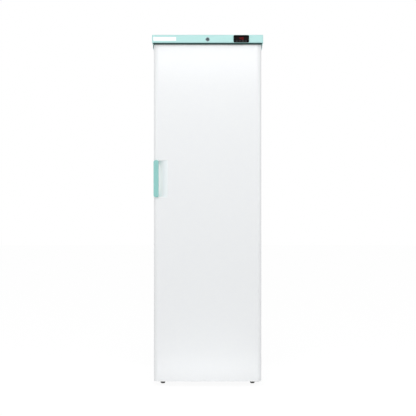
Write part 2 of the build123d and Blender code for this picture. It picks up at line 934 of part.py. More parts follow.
def bottom_hinge_bracket():
    """Angle under the door's corner: a plate with the pin and a tab screwed to the base."""
    top = door_bottom_z - hinge_play
    low = top - hinge_plate
    x = hinge_x - hinge_plate_shift
    span = around(x, hinge_plate_width)
    tab_front = cabinet_front_y - hinge_plate
    bracket = block(span, (hinge_y, cabinet_front_y), (low, top))
    bracket += rod((x, hinge_y, low), (x, hinge_y, top), hinge_plate_width / 2)
    bracket += block(span, (tab_front, cabinet_front_y), (low, base_z + hinge_tab_rise))
    bracket -= rod((hinge_x, hinge_y, low - 1), (hinge_x, hinge_y, top + 1), pin_radius + pin_running)
    for place in bottom_screws():
        bracket -= countersunk(place, (0, -1, 0), screw_play)
    return bracket


def bottom_screws():
    """Points on the bottom bracket's tab where its screws stand."""
    z = base_z - bond_gap - base_flange / 2
    x = hinge_x - hinge_plate_shift
    return [(place, cabinet_front_y - hinge_plate, z) for place in around(x, bottom_screw_pitch)]


def hinge_pin(where):
    """Headed pin: one hangs from the top bracket, one stands on the bottom bracket."""
    if where == "top":
        plate = roof_z + hinge_plate
        end = door_top_z - pin_reach
        head = rod((hinge_x, hinge_y, plate + 0.05), (hinge_x, hinge_y, plate + 0.75), pin_radius + 2)
        return head + rod((hinge_x, hinge_y, end), (hinge_x, hinge_y, plate + 0.3), pin_radius)
    plate = door_bottom_z - hinge_play - hinge_plate
    end = door_bottom_z + pin_reach
    head = rod((hinge_x, hinge_y, plate - 2), (hinge_x, hinge_y, plate - 0.05), pin_radius + 2)
    return head + rod((hinge_x, hinge_y, plate - 1), (hinge_x, hinge_y, end), pin_radius)


def countersunk(face_point, out, margin):
    """A flush screw with its head in a plate's face, or its hole when grown by a margin."""
    seat = Plane(origin=face_point, z_dir=out)
    upright = (Align.CENTER, Align.CENTER, Align.MAX)
    head = Cone(screw_radius + margin, screw_head_radius + margin, screw_head, align=upright)
    shank = Cylinder(screw_radius + margin, hinge_plate + margin, align=upright)
    return seat * head + seat * shank


def cabinet_screws():
    """Fasteners of the two hinge brackets."""
    top = [countersunk(place, (0, 0, 1), 0) for place in top_screws()]
    bottom = [countersunk(place, (0, -1, 0), 0) for place in bottom_screws()]
    return group(top + bottom)


# Door


def door_outline(inset):
    """The door's plan outline: a flat front with rounded edges, square at the back."""
    front, back = door_front_y + inset, door_back_y - inset
    half, radius = half_door - inset, door_edge_radius - inset
    dip = radius * (1 - cos(radians(45)))
    with BuildLine() as line:
        Line((-half, back), (-half, front + radius))
        ThreePointArc((-half, front + radius), (-half + dip, front + dip), (-half + radius, front))
        Line((-half + radius, front), (half - radius, front))
        ThreePointArc((half - radius, front), (half - dip, front + dip), (half, front + radius))
        Line((half, front + radius), (half, back))
        Line((half, back), (-half, back))
    return make_face(line.edges())


def door_prism(inset, low, high):
    """The door's outline over a band of heights."""
    return extrude(Plane(origin=(0, 0, low)) * door_outline(inset), amount=high - low)


def cup_block(margin):
    """The handle cup's outer block, grown by a margin, inside the door's outline."""
    right = -half_door + cup_width + 2
    left = -half_door + 2
    box = block(
        (left - margin, right + margin),
        (door_front_y - 1, door_front_y + cup_depth + cup_wall + margin),
        around(handle_z, cup_height + 2 * margin),
    )
    vertical = box.edges().filter_by(Axis.Y).filter_by(lambda e: e.center().X > left + 5)
    return fillet(vertical, 5)


def scoop():
    """The finger recess: deep behind the grip, then rising in a curve to the door's front."""
    left = -half_door + 2 + cup_wall
    right = -half_door + cup_width - 1
    floor = door_front_y + cup_depth
    front = door_front_y
    shoulder = left + cup_flat
    middle = (shoulder + (right - shoulder) * 0.52, front + cup_depth * 0.42)
    with BuildLine() as line:
        Polyline((right, front), (right, front - 2), (left, front - 2), (left, floor), (shoulder, floor))
        ThreePointArc((shoulder, floor), middle, (right, front))
    low = handle_z - cup_height / 2 + cup_wall
    face = Plane(origin=(0, 0, low)) * make_face(line.edges())
    return extrude(face, amount=cup_height - 2 * cup_wall)


def handle_cup():
    """White scooped insert in the door's left edge."""
    body = cup_block(0) & door_prism(0, handle_z - cup_height, handle_z + cup_height)
    return body - scoop()


def handle_grip():
    """Mint grip: an upright bar with rounded ends on two feet that stand in the cup."""
    left = -half_door
    x_middle = left + grip_width / 2
    outline = RectangleRounded(grip_width, grip_height, grip_corner)
    front = door_front_y - grip_proud
    face = front_sketch(Pos(x_middle, handle_z) * outline, front)
    bar = extrude(face, amount=-grip_thickness)
    bar = fillet(bar.edges().filter_by(lambda e: abs(e.center().Y - front) < 0.1), grip_edge)
    back = bar.edges().filter_by(lambda e: abs(e.center().Y - front - grip_thickness) < 0.1)
    bar = fillet(back, 2.0)
    foot_left = left + 2 + cup_wall + bond_gap
    floor = door_front_y + cup_depth - bond_gap
    for end in (-1, 1):
        outer = handle_z + end * (cup_height / 2 - cup_wall - 1.0)
        inner = outer - end * grip_foot
        foot = block(
            (foot_left, left + grip_width - 1.5),
            (front + grip_thickness / 2, floor),
            (min(inner, outer), max(inner, outer)),
        )
        bar += fillet(foot.edges().filter_by(Axis.Y), 2.5)
    return bar


def door_panel():
    """White steel skin: front, rounded edges, sides and a return flange behind."""
    low, high = door_bottom_z + cap_flange, door_top_z - cap_flange
    skin = door_prism(0, low, high) - door_prism(steel_sheet, low - 1, high + 1)
    skin -= block(
        around(0, door_width - 2 * door_return), (door_back_y - 2 * steel_sheet, door_back_y + 1),
        (low - 1, high + 1),
    )
    return skin - cup_block(bond_gap)


def door_cap(top):
    """End cap: a flange over the skin's end and a plug inside it, bored for the hinge bush."""
    end = door_top_z if top else door_bottom_z
    inward = -1 if top else 1
    seat = end + inward * cap_flange
    deep = seat + inward * cap_plug
    flange = door_prism(0, min(end, seat), max(end, seat))
    plug = door_prism(steel_sheet + plug_gap, min(seat, deep), max(seat, deep))
    plug -= block(
        around(0, door_width), (door_back_y - steel_sheet - liner_sheet - plug_gap, door_back_y + 1),
        (min(seat, deep), max(seat, deep)),
    )
    cap = flange + plug
    cap -= rod(
        (hinge_x, hinge_y, end - inward), (hinge_x, hinge_y, end + inward * (bush_depth + seat_gap)),
        bush_radius + bond_gap / 2,
    )
    cap -= rod(
        (hinge_x, hinge_y, end - inward), (hinge_x, hinge_y, end + inward * 1.2),
        bush_flange_radius + bond_gap / 2,
    )
    return cap


def door_bush(top):
    """Flanged nylon bush for a hinge pin."""
    end = door_top_z if top else door_bottom_z
    inward = -1 if top else 1
    outer_face = end - inward * (hinge_play - seat_gap)
    body = rod((hinge_x, hinge_y, end), (hinge_x, hinge_y, end + inward * bush_depth), bush_radius)
    body += rod(
        (hinge_x, hinge_y, outer_face), (hinge_x, hinge_y, end + inward * 1.0), bush_flange_radius
    )
    return body - rod(
        (hinge_x, hinge_y, outer_face - inward), (hinge_x, hinge_y, end + inward * (pin_reach + 1)),
        pin_radius + pin_running,
    )


def plateau(inset):
    """The door liner's raised panel, sunk again inside its frame, shrunk by an inset."""
    height = gasket_gap + plateau_reach - inset
    low, high = plateau_bottom_z, plateau_top_z
    middle = (low + high) / 2
    start = door_back_y - liner_sheet - inset
    base = Plane(origin=(0, start, middle), x_dir=(1, 0, 0), z_dir=(0, 1, 0))
    raised = RectangleRounded(
        2 * (plateau_half - inset), high - low - 2 * inset, plateau_corner - inset
    )
    raised = extrude(base * raised, amount=door_back_y + height - start, taper=plateau_draft)
    top = Plane(origin=(0, door_back_y + height, middle), x_dir=(1, 0, 0), z_dir=(0, -1, 0))
    sunk = RectangleRounded(
        2 * (plateau_half - panel_frame + inset), high - low - 2 * (panel_frame - inset),
        plateau_corner + inset,
    )
    return raised - extrude(top * sunk, amount=panel_recess, taper=plateau_draft)


def door_liner():
    """White moulded inner door: a flat border for the gasket and a raised, framed panel."""
    border = block(
        around(0, door_width - 2 * door_return - 2 * bond_gap),
        (door_back_y - liner_sheet, door_back_y),
        (door_bottom_z + cap_flange + bond_gap, door_top_z - cap_flange - bond_gap),
    )
    return border + plateau(0) - plateau(liner_sheet)


def door_foam():
    """Rigid foam filling of the door, pocketed for the handle cup."""
    low = door_bottom_z + cap_flange + cap_plug + bond_gap
    high = door_top_z - cap_flange - cap_plug - bond_gap
    core = door_prism(steel_sheet + bond_gap, low, high)
    core -= block(
        around(0, door_width), (door_back_y - liner_sheet - bond_gap, door_back_y + 1), (low - 1, high + 1)
    )
    core += plateau(liner_sheet + bond_gap)
    return core - cup_block(2 * bond_gap)


def ring(half_width, low, high, width, y_span, corner):
    """A rectangular ring round the door's plateau, of one width and depth."""
    middle = (low + high) / 2
    outer = RectangleRounded(2 * half_width, high - low, corner)
    inner = RectangleRounded(2 * (half_width - width), high - low - 2 * width, max(corner - width, 2))
    face = front_sketch(Pos(0, middle) * (outer - inner), y_span[1])
    return extrude(face, amount=y_span[1] - y_span[0])


def door_gasket():
    """Magnetic seal: a broad foot on the door's liner and a narrower sealing bulb."""
    low = opening_bottom_z - (gasket_half - half_opening)
    high = opening_top_z + (gasket_half - half_opening)
    step = (gasket_width - gasket_lip) / 2
    foot_y = (door_back_y + bond_gap, door_back_y + gasket_foot)
    lip_y = (door_back_y + gasket_foot - 0.5, cabinet_front_y - gasket_clear)
    foot = ring(gasket_half, low, high, gasket_width, foot_y, 8)
    lip = ring(gasket_half - step, low + step, high - step, gasket_lip, lip_y, 6)
    return foot + lip


# Shelves


def wire_shelf():
    """Welded wire shelf at the height of the lowest ledge: wires inside a bent frame."""
    half = half_opening - shelf_side_gap - shelf_rod_radius
    front = cabinet_front_y + plateau_reach + shelf_front_gap
    back = liner_back_y - shelf_back_gap
    z = ledge_first_z + bond_gap + shelf_rod_radius
    weld = (0, front, z)
    corners = [(half, front, z), (half, back, z), (-half, back, z), (-half, front, z)]
    frame = bent_rod([weld, *corners, weld], shelf_corner, shelf_rod_radius, shelf_rod_sides)
    pitch = 2 * half / (shelf_wire_count + 1)
    wires = []
    for i in range(1, shelf_wire_count + 1):
        x = -half + i * pitch
        wires.append(bar((x, front, z), (x, back, z), shelf_wire_radius, wire_sides, (0, 0, 1)))
    return frame.fuse(*wires)


# Air cooling inside


def evaporator_plate():
    """Roll-bonded aluminium plate with a raised refrigerant channel, on four standoffs."""
    back = liner_back_y - plate_standoff
    front = back - plate_sheet
    middle = plate_first_z + plate_height / 2
    outline = RectangleRounded(plate_width, plate_height, 6)
    sheet = extrude(front_sketch(Pos(0, middle) * outline, front), amount=-plate_sheet)
    half_run = plate_width / 2 - plate_channel_pitch / 2 - 20
    first = middle - plate_channel_pitch * (plate_channel_passes - 1) / 2
    rise = plate_channel_rise
    for i in range(plate_channel_passes):
        z = first + i * plate_channel_pitch
        sheet += block(
            (-half_run, half_run), (front - rise, front + 0.2), around(z, plate_channel)
        )
        if i < plate_channel_passes - 1:
            side = 1 if i % 2 == 0 else -1
            bend = Circle(plate_channel_pitch / 2 + plate_channel / 2) - Circle(
                plate_channel_pitch / 2 - plate_channel / 2
            )
            bend = bend & (Pos(side * plate_channel_pitch / 2, 0) * Rectangle(
                plate_channel_pitch, 2 * plate_channel_pitch
            ))
            face = front_sketch(Pos(side * half_run, z + plate_channel_pitch / 2) * bend, front + 0.2)
            sheet += extrude(face, amount=rise + 0.2)
    for x in (-plate_width / 2 + 14, plate_width / 2 - 14):
        for z in (plate_first_z + 30, plate_first_z + plate_height - 30):
            sheet += rod((x, back - 1, z), (x, liner_back_y - bond_gap, z), 6)
            sheet += rod((x, front - 2, z), (x, front + 1, z), 5)
    return sheet


def fan_centre():
    return fan_cover_z + fan_cover_height / 2


def fan_cover():
    """White moulded housing on the back wall with a round grille and rows of vents."""
    front = liner_back_y - bond_gap - fan_cover_depth
    z = fan_centre()
    outline = RectangleRounded(fan_cover_width, fan_cover_height, fan_cover_corner)
    face = front_sketch(Pos(0, z) * outline, front)
    body = extrude(face, amount=-fan_cover_depth)
    rim = body.edges().filter_by(lambda e: abs(e.center().Y - front) < 0.1)
    body = chamfer(rim, 4)
    hollow = RectangleRounded(
        fan_cover_width - 2 * fan_cover_wall, fan_cover_height - 2 * fan_cover_wall,
        fan_cover_corner - fan_cover_wall,
    )
    body -= extrude(
        front_sketch(Pos(0, z) * hollow, front + fan_cover_wall), amount=-fan_cover_depth
    )
    grille = Circle(fan_radius + 2)
    pitch = fan_radius / grille_rings
    bars = Circle(pitch)
    for i in range(2, grille_rings + 1):
        bars += Circle(i * pitch - grille_bar / 2) - Circle(i * pitch - 1.5 * grille_bar)
    for i in range(grille_spokes):
        spoke = Pos(fan_radius / 2 + 1, 0) * Rectangle(fan_radius + 4, grille_bar)
        bars += Rot(0, 0, i * 360 / grille_spokes) * spoke
    holes = grille - bars
    body -= extrude(front_sketch(Pos(0, z) * holes, front - 1), amount=-fan_cover_wall - 2)
    slot = SlotOverall(vent_length, vent_height)
    for side in (-1, 1):
        x = side * (fan_cover_width / 4 + fan_radius / 2 + 2)
        for i in range(vent_count):
            row = z + (i - (vent_count - 1) / 2) * vent_pitch
            vent = front_sketch(Pos(x, row) * slot, front - 1)
            body -= extrude(vent, amount=-fan_cover_wall - 2)
    return body


def fan_planes():
    """The fan frame's front and back planes."""
    front = liner_back_y - bond_gap - fan_cover_depth + fan_cover_wall + seat_gap
    return front, front + fan_frame_depth


def fan_frame():
    """Square fan frame: round duct, four struts, the motor and its shaft."""
    front, back = fan_planes()
    z = fan_centre()
    side = 2 * (fan_radius + fan_frame_wall)
    outline = RectangleRounded(side, side, 6) - Circle(fan_radius)
    body = extrude(front_sketch(Pos(0, z) * outline, front), amount=-fan_frame_depth)
    strut = Pos(fan_radius / 2, 0) * Rectangle(fan_radius + 2, 4)
    star = Circle(fan_hub_radius)
    for i in range(4):
        star += Rot(0, 0, 45 + i * 90) * strut
    body += extrude(front_sketch(Pos(0, z) * star, back), amount=3)
    motor_back = liner_back_y - bond_gap - seat_gap
    body += rod((0, back - 1, z), (0, motor_back, z), fan_hub_radius)
    return body + rod((0, back - 3 - fan_hub_depth + 4, z), (0, back - 1, z), fan_shaft_radius)


def fan_impeller():
    """Hub and cambered blades, pressed together in one moulding."""
    front, back = fan_planes()
    z = fan_centre()
    hub_back = back - 3 - 1.0
    hub_front = hub_back - fan_hub_depth
    hub = rod((0, hub_front, z), (0, hub_back, z), fan_hub_radius)
    hub = fillet(hub.edges().filter_by(lambda e: e.center().Y < hub_front + 1), 3)
    middle = (hub_front + hub_back) / 2
    reach = fan_radius - fan_tip_gap
    camber = fan_blade_chord * 0.14
    half = fan_blade_chord / 2
    with BuildLine() as line:
        ThreePointArc((-half, 0), (0, camber), (half, 0))
        Line((half, 0), (half, -fan_blade_sheet))
        ThreePointArc((half, -fan_blade_sheet), (0, camber - fan_blade_sheet), (-half, -fan_blade_sheet))
        Line((-half, -fan_blade_sheet), (-half, 0))
    section = make_face(line.edges())
    blade = extrude(Pos(0, 0, fan_hub_radius - 2) * section, amount=reach + 2 - fan_hub_radius + 2)
    blade = Rot(0, 0, fan_blade_pitch) * blade
    duct = rod((0, hub_front - 2, z), (0, hub_back + 0.5, z), reach)
    blades = [
        Pos(0, middle, z) * Rot(0, i * 360 / fan_blade_count, 0) * blade
        for i in range(fan_blade_count)
    ]
    wheel = hub.fuse(*[blade & duct for blade in blades])
    return wheel - rod(
        (0, hub_back - fan_hub_depth + 3, z), (0, hub_back + 1, z), fan_shaft_radius + 0.1
    )


def light_lens():
    """Frosted lamp cover on the ceiling."""
    top = opening_top_z - bond_gap
    front = cabinet_front_y + lens_setback
    lens = block(around(0, lens_width), (front, front + lens_depth), (top - lens_drop, top))
    lens = fillet(lens.edges().filter_by(Axis.Z), 8)
    return fillet(lens.edges().group_by(Axis.Z)[0], 5)


def temperature_probe():
    """Probe capsule in its clip, on the right-hand wall."""
    x = half_opening - bond_gap
    y = liner_back_y - probe_setback
    z = fan_cover_z - probe_below_fan
    clip = block((x - 12, x), around(y, 16), around(z, 22))
    clip = fillet(clip.edges().filter_by(Axis.Z), 3)
    axis_x = x - 7
    capsule = rod((axis_x, y, z - probe_length * 0.65), (axis_x, y, z + probe_length * 0.35), probe_radius)
    capsule = chamfer(capsule.edges().group_by(Axis.Z)[0], probe_radius / 2)
    return clip + capsule


# Door switch


def switch_z():
    return roof_z - switch_below_roof


def switch_pocket(margin):
    y = cabinet_front_y + steel_sheet
    return rod(
        (switch_x, y - 1, switch_z()), (switch_x, y + switch_depth + margin, switch_z()),
        switch_radius + margin,
    )


def door_switch_body():
    """Switch barrel in the cabinet's front edge, behind the wrap's return flange."""
    y = cabinet_front_y + steel_sheet + bond_gap
    body = rod((switch_x, y, switch_z()), (switch_x, y + switch_depth - 1, switch_z()), switch_radius)
    return body - rod(
        (switch_x, y - 1, switch_z()), (switch_x, y + switch_depth - 3, switch_z()),
        plunger_radius + plunger_gap / 2,
    )


def door_switch_plunger():
    """Push pin that the closed door holds in."""
    front = door_back_y + seat_gap
    back = cabinet_front_y + steel_sheet + switch_depth - 4
    pin = rod((switch_x, front, switch_z()), (switch_x, back, switch_z()), plunger_radius)
    return chamfer(pin.edges().filter_by(lambda e: e.center().Y < front + 0.1), 1.0)


# Refrigerating circuit


def compressor_centre():
    return compressor_x, cabinet_back_y - compartment_depth / 2


def mount_points():
    x, y = compressor_centre()
    return [
        (x + i * compressor_length * 0.40, y + j * compressor_width * 0.44)
        for i in (-1, 1)
        for j in (-1, 1)
    ]


def compressor_base_z():
    return base_z + grommet_height


def compressor():
    """Hermetic compressor: a welded steel can with its seam, foot plate and pipe stubs."""
    x, y = compressor_centre()
    low = compressor_base_z()
    can_low = low + compressor_foot_sheet + 2
    length, width = compressor_length * 0.80, compressor_width * 0.86
    can = extrude(
        Plane(origin=(x, y, can_low)) * SlotOverall(length, width),
        amount=compressor_height - compressor_foot_sheet - 2,
    )
    can = fillet(can.edges().group_by(Axis.Z)[-1], compressor_round)
    can = fillet(can.edges().group_by(Axis.Z)[0], compressor_round / 2)
    seam = extrude(
        Plane(origin=(x, y, can_low + compressor_height * 0.52))
        * SlotOverall(length + 2 * compressor_seam_rim, width + 2 * compressor_seam_rim),
        amount=compressor_seam,
    )
    plate = Plane(origin=(x, y, low)) * RectangleRounded(
        length + 34, compressor_width * 0.88 + 34, 16
    )
    plate = extrude(plate, amount=compressor_foot_sheet)
    plate = plate + block(
        around(x, compressor_saddle), around(y, compressor_saddle), (low + 1, can_low + 5)
    )
    body = can + seam + plate
    for px, py in mount_points():
        body -= rod((px, py, low - 1), (px, py, low + 5), grommet_radius - 4 + 0.3)
    for start, end in (suction_stub(), discharge_stub()):
        body += rod(start, end, pipe_radius + 1.2)
    return body


def suction_stub():
    x, y = compressor_centre()
    z = compressor_base_z() + compressor_height * 0.62
    side = x + compressor_length * 0.40
    return (side - 12, y - 18, z), (side + 12, y - 18, z)


def discharge_stub():
    x, y = compressor_centre()
    z = compressor_base_z() + compressor_height * 0.42
    side = x + compressor_length * 0.40
    return (side - 12, y + 20, z), (side + 12, y + 20, z)


def suction_entry():
    """Where the suction pipe passes through the compartment's front wall."""
    x, y = compressor_centre()
    return x + compressor_length * 0.40 + suction_reach, base_z + compartment_height * 0.80


def compressor_grommets():
    """Rubber mounts: a foot under the plate, a waist through it and a cap above."""
    mounts = []
    for x, y in mount_points():
        low = base_z
        plate = compressor_base_z()
        mount = rod((x, y, low), (x, y, plate - bond_gap), grommet_radius)
        mount += rod((x, y, plate - 1), (x, y, plate + compressor_foot_sheet + 1), grommet_radius - 4)
        mount += rod(
            (x, y, plate + compressor_foot_sheet + bond_gap),
            (x, y, plate + compressor_foot_sheet + 4), grommet_radius - 2,
        )
        mounts.append(mount)
    return group(mounts)


def relay_cover():
    """Moulded cover of the compressor's terminals and start relay."""
    x, y = compressor_centre()
    right = x - compressor_length * 0.40 - compressor_seam_rim - seat_gap
    low = compressor_base_z() + 30
    box = block((right - relay_depth, right), around(y, relay_width), (low, low + relay_height))
    upright = box.edges().filter_by(Axis.Z).filter_by(lambda e: e.center().X < right - 1)
    box = fillet(upright, 8)
    rim = box.edges().group_by(Axis.Z)[-1].filter_by(lambda e: e.center().X < right - 1)
    return chamfer(rim, 3)


def drip_tray():
    """Shallow tray on the compressor that boils off the defrost water."""
    x, y = compressor_centre()
    low = compressor_base_z() + compressor_height + seat_gap
    outer = Plane(origin=(x, y, low)) * RectangleRounded(tray_length, tray_width, 20)
    body = extrude(outer, amount=tray_height)
    inner = Plane(origin=(x, y, low + tray_wall)) * RectangleRounded(
        tray_length - 2 * tray_wall, tray_width - 2 * tray_wall, 18
    )
    return body - extrude(inner, amount=tray_height)


def coil_y():
    return cabinet_back_y + coil_standoff


def riser_x():
    """The riser stands outside the coil's bends."""
    return coil_half_run + coil_pitch / 2 + riser_clear


def coil_top_z():
    return coil_first_z + (coil_passes - 1) * coil_pitch


def condenser_tube():
    """Serpentine tube of the condenser: level runs joined by half-round bends."""
    y = coil_y()
    radius = coil_pitch / 2
    up = Vector(0, 0, 1)
    pieces = []
    for i in range(coil_passes):
        z = coil_first_z + i * coil_pitch
        left, right = (-coil_half_run, y, z), (coil_half_run, y, z)
        pieces.append(bar(left, right, coil_tube_radius, wire_sides, up))
        if i == coil_passes - 1:
            break
        side = -1 if i % 2 == 0 else 1
        end = Vector(side * coil_half_run, y, z)
        section = wire_section(end, Vector(side, 0, 0), up, coil_tube_radius, wire_sides)
        hub = Axis(end + up * radius, (0, -side, 0))
        pieces.append(revolve(section, axis=hub, revolution_arc=180))
    return pieces[0].fuse(*pieces[1:])


def wire_columns():
    """Where the condenser's upright wires stand."""
    count = int(2 * (coil_half_run - coil_wire_inset) / coil_wire_pitch) + 1
    return [(i - (count - 1) / 2) * coil_wire_pitch for i in range(count)]


def condenser_wires():
    """Upright wires on both faces of the serpentine, a hair off the tube."""
    low = coil_first_z - coil_wire_overhang
    high = coil_top_z() + coil_wire_overhang
    offset = coil_tube_radius + coil_wire_radius + coil_wire_gap
    wires = []
    for x in wire_columns():
        for side in (-1, 1):
            y = coil_y() + side * offset
            wires.append(
                bar((x, y, low), (x, y, high), coil_wire_radius, wire_sides, (1, 0, 0))
            )
    return group(wires)


def spacer_places():
    """Condenser spacers: two columns on three of the tube's runs."""
    columns = wire_columns()
    column = columns[len(columns) // 5] + coil_wire_pitch / 2
    rows = (1, coil_passes // 2, coil_passes - 2)
    return [(x, coil_first_z + row * coil_pitch) for x in (column, -column) for row in rows]


def condenser_spacers():
    """Plastic clips that hold the coil off the cabinet and the cabinet off the wall."""
    clips = []
    for x, z in spacer_places():
        clip = block(
            around(x, spacer_width), (cabinet_back_y + bond_gap, wall_y), around(z, spacer_height)
        )
        rear = clip.edges().filter_by(Axis.X).filter_by(lambda e: e.center().Y > wall_y - 1)
        clip = fillet(rear, 5)
        tube = rod(
            (x - spacer_width, coil_y(), z), (x + spacer_width, coil_y(), z),
            coil_tube_radius + bond_gap,
        )
        clips.append(clip - tube)
    return group(clips)


def suction_pipe():
    """Copper pipe from the evaporator's outlet down to the compressor."""
    start = suction_stub()[1]
    x, z = suction_entry()
    points = [
        (start[0] + seat_gap, start[1], start[2]),
        (x, start[1], start[2]),
        (x, start[1], z),
        (x, compartment_y - hump_wall / 2, z),
    ]
    return bent_rod(points, pipe_bend, pipe_radius, pipe_sides)


def discharge_pipe():
    """Copper pipe from the compressor up beside the coil to its top run."""
    start = discharge_stub()[1]
    x = riser_x()
    y = coil_y()
    top = coil_top_z()
    points = [
        (start[0] + seat_gap, start[1], start[2]),
        (start[0] + discharge_lead, start[1], start[2]),
        (start[0] + discharge_lead, y, start[2]),
        (x, y, start[2]),
        (x, y, top),
        (coil_half_run + seat_gap, y, top),
    ]
    return bent_rod(points, pipe_bend, pipe_radius, pipe_sides)


def filter_drier():
    """Copper drier between the coil's foot and the capillary, brazed into one line."""
    x, y = drier_x, compressor_centre()[1]
    low = base_z + drier_above
    high = low + drier_length
    outline = Polyline(
        (0, low), (liquid_tube_radius, low), (liquid_tube_radius, low + drier_neck / 2),
        (drier_radius, low + drier_neck), (drier_radius, high - drier_neck),
        (liquid_tube_radius, high - drier_neck / 2), (liquid_tube_radius, high), (0, high),
        close=True,
    )
    drier = revolve(Plane.XZ * make_face(outline), axis=Axis.Z)
    turn = coil_half_run + pipe_bend + 2
    feed = bent_rod(
        [
            (coil_half_run + seat_gap, coil_y(), coil_first_z),
            (turn, coil_y(), coil_first_z),
            (turn, coil_y(), high + drier_length / 2),
            (turn, y, high + drier_length / 2),
            (x, y, high + drier_length / 2),
            (x, y, high - 1),
        ],
        pipe_bend, liquid_tube_radius, wire_sides,
    )
    entry_x, entry_z = suction_entry()
    capillary = bent_rod(
        [
            (x, y, low + 1),
            (x, y, low - drier_above / 2),
            (entry_x + capillary_offset, y, low - drier_above / 2),
            (entry_x + capillary_offset, y, entry_z),
            (entry_x + capillary_offset, compartment_y + seat_gap, entry_z),
        ],
        pipe_bend / 2, capillary_radius, wire_sides,
    )
    return (Pos(x, y, 0) * drier).fuse(feed, capillary)


def gland_z():
    return base_z + gland_tab_height * 0.62


def mains_gland():
    """Bush for the mains lead in the base plate's tab."""
    outer = cabinet_back_y
    z = gland_z()
    body = rod(
        (gland_x, outer + gland_flange - gland_length, z), (gland_x, outer + 1, z), gland_body_radius
    )
    body += rod(
        (gland_x, outer + bond_gap, z), (gland_x, outer + gland_flange, z), gland_flange_radius
    )
    return body - rod(
        (gland_x, outer - gland_length, z), (gland_x, outer + gland_flange + 1, z), gland_bore_radius
    )


def shelf_nodes():
    first = wire_shelf()
    return {
        f"shelf_{i + 1}": Pos(0, 0, step * ledge_pitch) * first
        for i, step in enumerate(shelf_steps)
    }


def nodes():
    """Every piece by its name."""
    pieces = {
        "outer_wrap": outer_wrap(),
        "back_panel": back_panel(),
        "insulation_foam": insulation_foam(),
        "inner_liner": inner_liner(),
        "base_plate": base_plate(),
        "front_foot_left": levelling_foot("left"),
        "front_foot_right": levelling_foot("right"),
        "roller_left": roller("left"),
        "roller_right": roller("right"),
        "roller_brackets": group([roller_bracket("left"), roller_bracket("right")]),
        "roller_axles": group([roller_axle("left"), roller_axle("right")]),
        "fascia": fascia(),
        "top_cover": top_cover(),
        "controller_case": controller_case(),
        "display_window": display_window(),
        "lock_barrel": lock_barrel(),
        "lock_keeper": lock_keeper(),
        "lock_plug": lock_plug(),
        "lock_cam": lock_cam(),
        "top_hinge_bracket": top_hinge_bracket(),
        "bottom_hinge_bracket": bottom_hinge_bracket(),
        "hinge_pins": group([hinge_pin("top"), hinge_pin("bottom")]),
        "cabinet_screws": cabinet_screws(),
        "door_panel": door_panel(),
        "door_liner": door_liner(),
        "door_foam": door_foam(),
        "door_gasket": door_gasket(),
        "door_top_cap": door_cap(True),
        "door_bottom_cap": door_cap(False),
        "door_bushes": group([door_bush(True), door_bush(False)]),
        "handle_cup": handle_cup(),
        "handle_grip": handle_grip(),
        "evaporator_plate": evaporator_plate(),
        "fan_cover": fan_cover(),
        "fan_frame": fan_frame(),
        "fan_impeller": fan_impeller(),
        "light_lens": light_lens(),
        "temperature_probe": temperature_probe(),
        "door_switch_body": door_switch_body(),
        "door_switch_plunger": door_switch_plunger(),
        "compressor": compressor(),
        "compressor_grommets": compressor_grommets(),
        "relay_cover": relay_cover(),
        "drip_tray": drip_tray(),
        "condenser_tube": condenser_tube(),
        "condenser_wires": condenser_wires(),
        "condenser_spacers": condenser_spacers(),
        "suction_pipe": suction_pipe(),
        "discharge_pipe": discharge_pipe(),
        "filter_drier": filter_drier(),
        "mains_gland": mains_gland(),
    }
    for name in key_places():
        pieces[f"key_{name}"] = key(name)
    pieces.update(shelf_nodes())
    return pieces


os.makedirs("parts", exist_ok=True)
for node_name, shape in nodes().items():
    export_step(shape, f"parts/{node_name}.step")
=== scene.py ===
import bmesh
import bpy
from math import pi, tan
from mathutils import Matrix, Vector


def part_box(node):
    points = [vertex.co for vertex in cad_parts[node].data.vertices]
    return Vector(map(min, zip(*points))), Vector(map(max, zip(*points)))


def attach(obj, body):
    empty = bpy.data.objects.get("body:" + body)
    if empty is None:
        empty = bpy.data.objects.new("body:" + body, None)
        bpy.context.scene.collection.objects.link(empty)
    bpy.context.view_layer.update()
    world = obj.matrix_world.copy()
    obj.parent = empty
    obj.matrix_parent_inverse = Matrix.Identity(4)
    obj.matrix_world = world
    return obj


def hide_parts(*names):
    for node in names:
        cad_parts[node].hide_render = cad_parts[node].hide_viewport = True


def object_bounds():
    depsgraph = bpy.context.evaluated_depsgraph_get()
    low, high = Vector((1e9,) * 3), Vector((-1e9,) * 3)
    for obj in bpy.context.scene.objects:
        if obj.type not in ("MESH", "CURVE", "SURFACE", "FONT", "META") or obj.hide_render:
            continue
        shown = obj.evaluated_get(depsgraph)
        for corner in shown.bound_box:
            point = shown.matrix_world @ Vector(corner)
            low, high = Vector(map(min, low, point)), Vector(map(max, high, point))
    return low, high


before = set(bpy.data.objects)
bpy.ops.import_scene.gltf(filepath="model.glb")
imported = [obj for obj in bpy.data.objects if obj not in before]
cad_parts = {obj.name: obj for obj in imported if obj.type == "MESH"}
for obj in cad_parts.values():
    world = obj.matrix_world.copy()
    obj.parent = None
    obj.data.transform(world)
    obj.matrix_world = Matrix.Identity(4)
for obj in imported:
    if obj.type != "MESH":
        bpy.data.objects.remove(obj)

cad_low, cad_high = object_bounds()

# The camera stands square in front of the cabinet, a little lower than the grip, and far
# enough away for the sides to vanish behind the door.
camera_data = bpy.data.cameras.new("camera")
camera_data.lens = 72.8
camera = bpy.data.objects.new("camera", camera_data)
camera.location = (0.002, -4.828, 0.963)
camera.rotation_euler = (pi / 2, 0, 0)
bpy.context.collection.objects.link(camera)
bpy.context.scene.camera = camera
bpy.context.scene.view_settings.view_transform = "Standard"


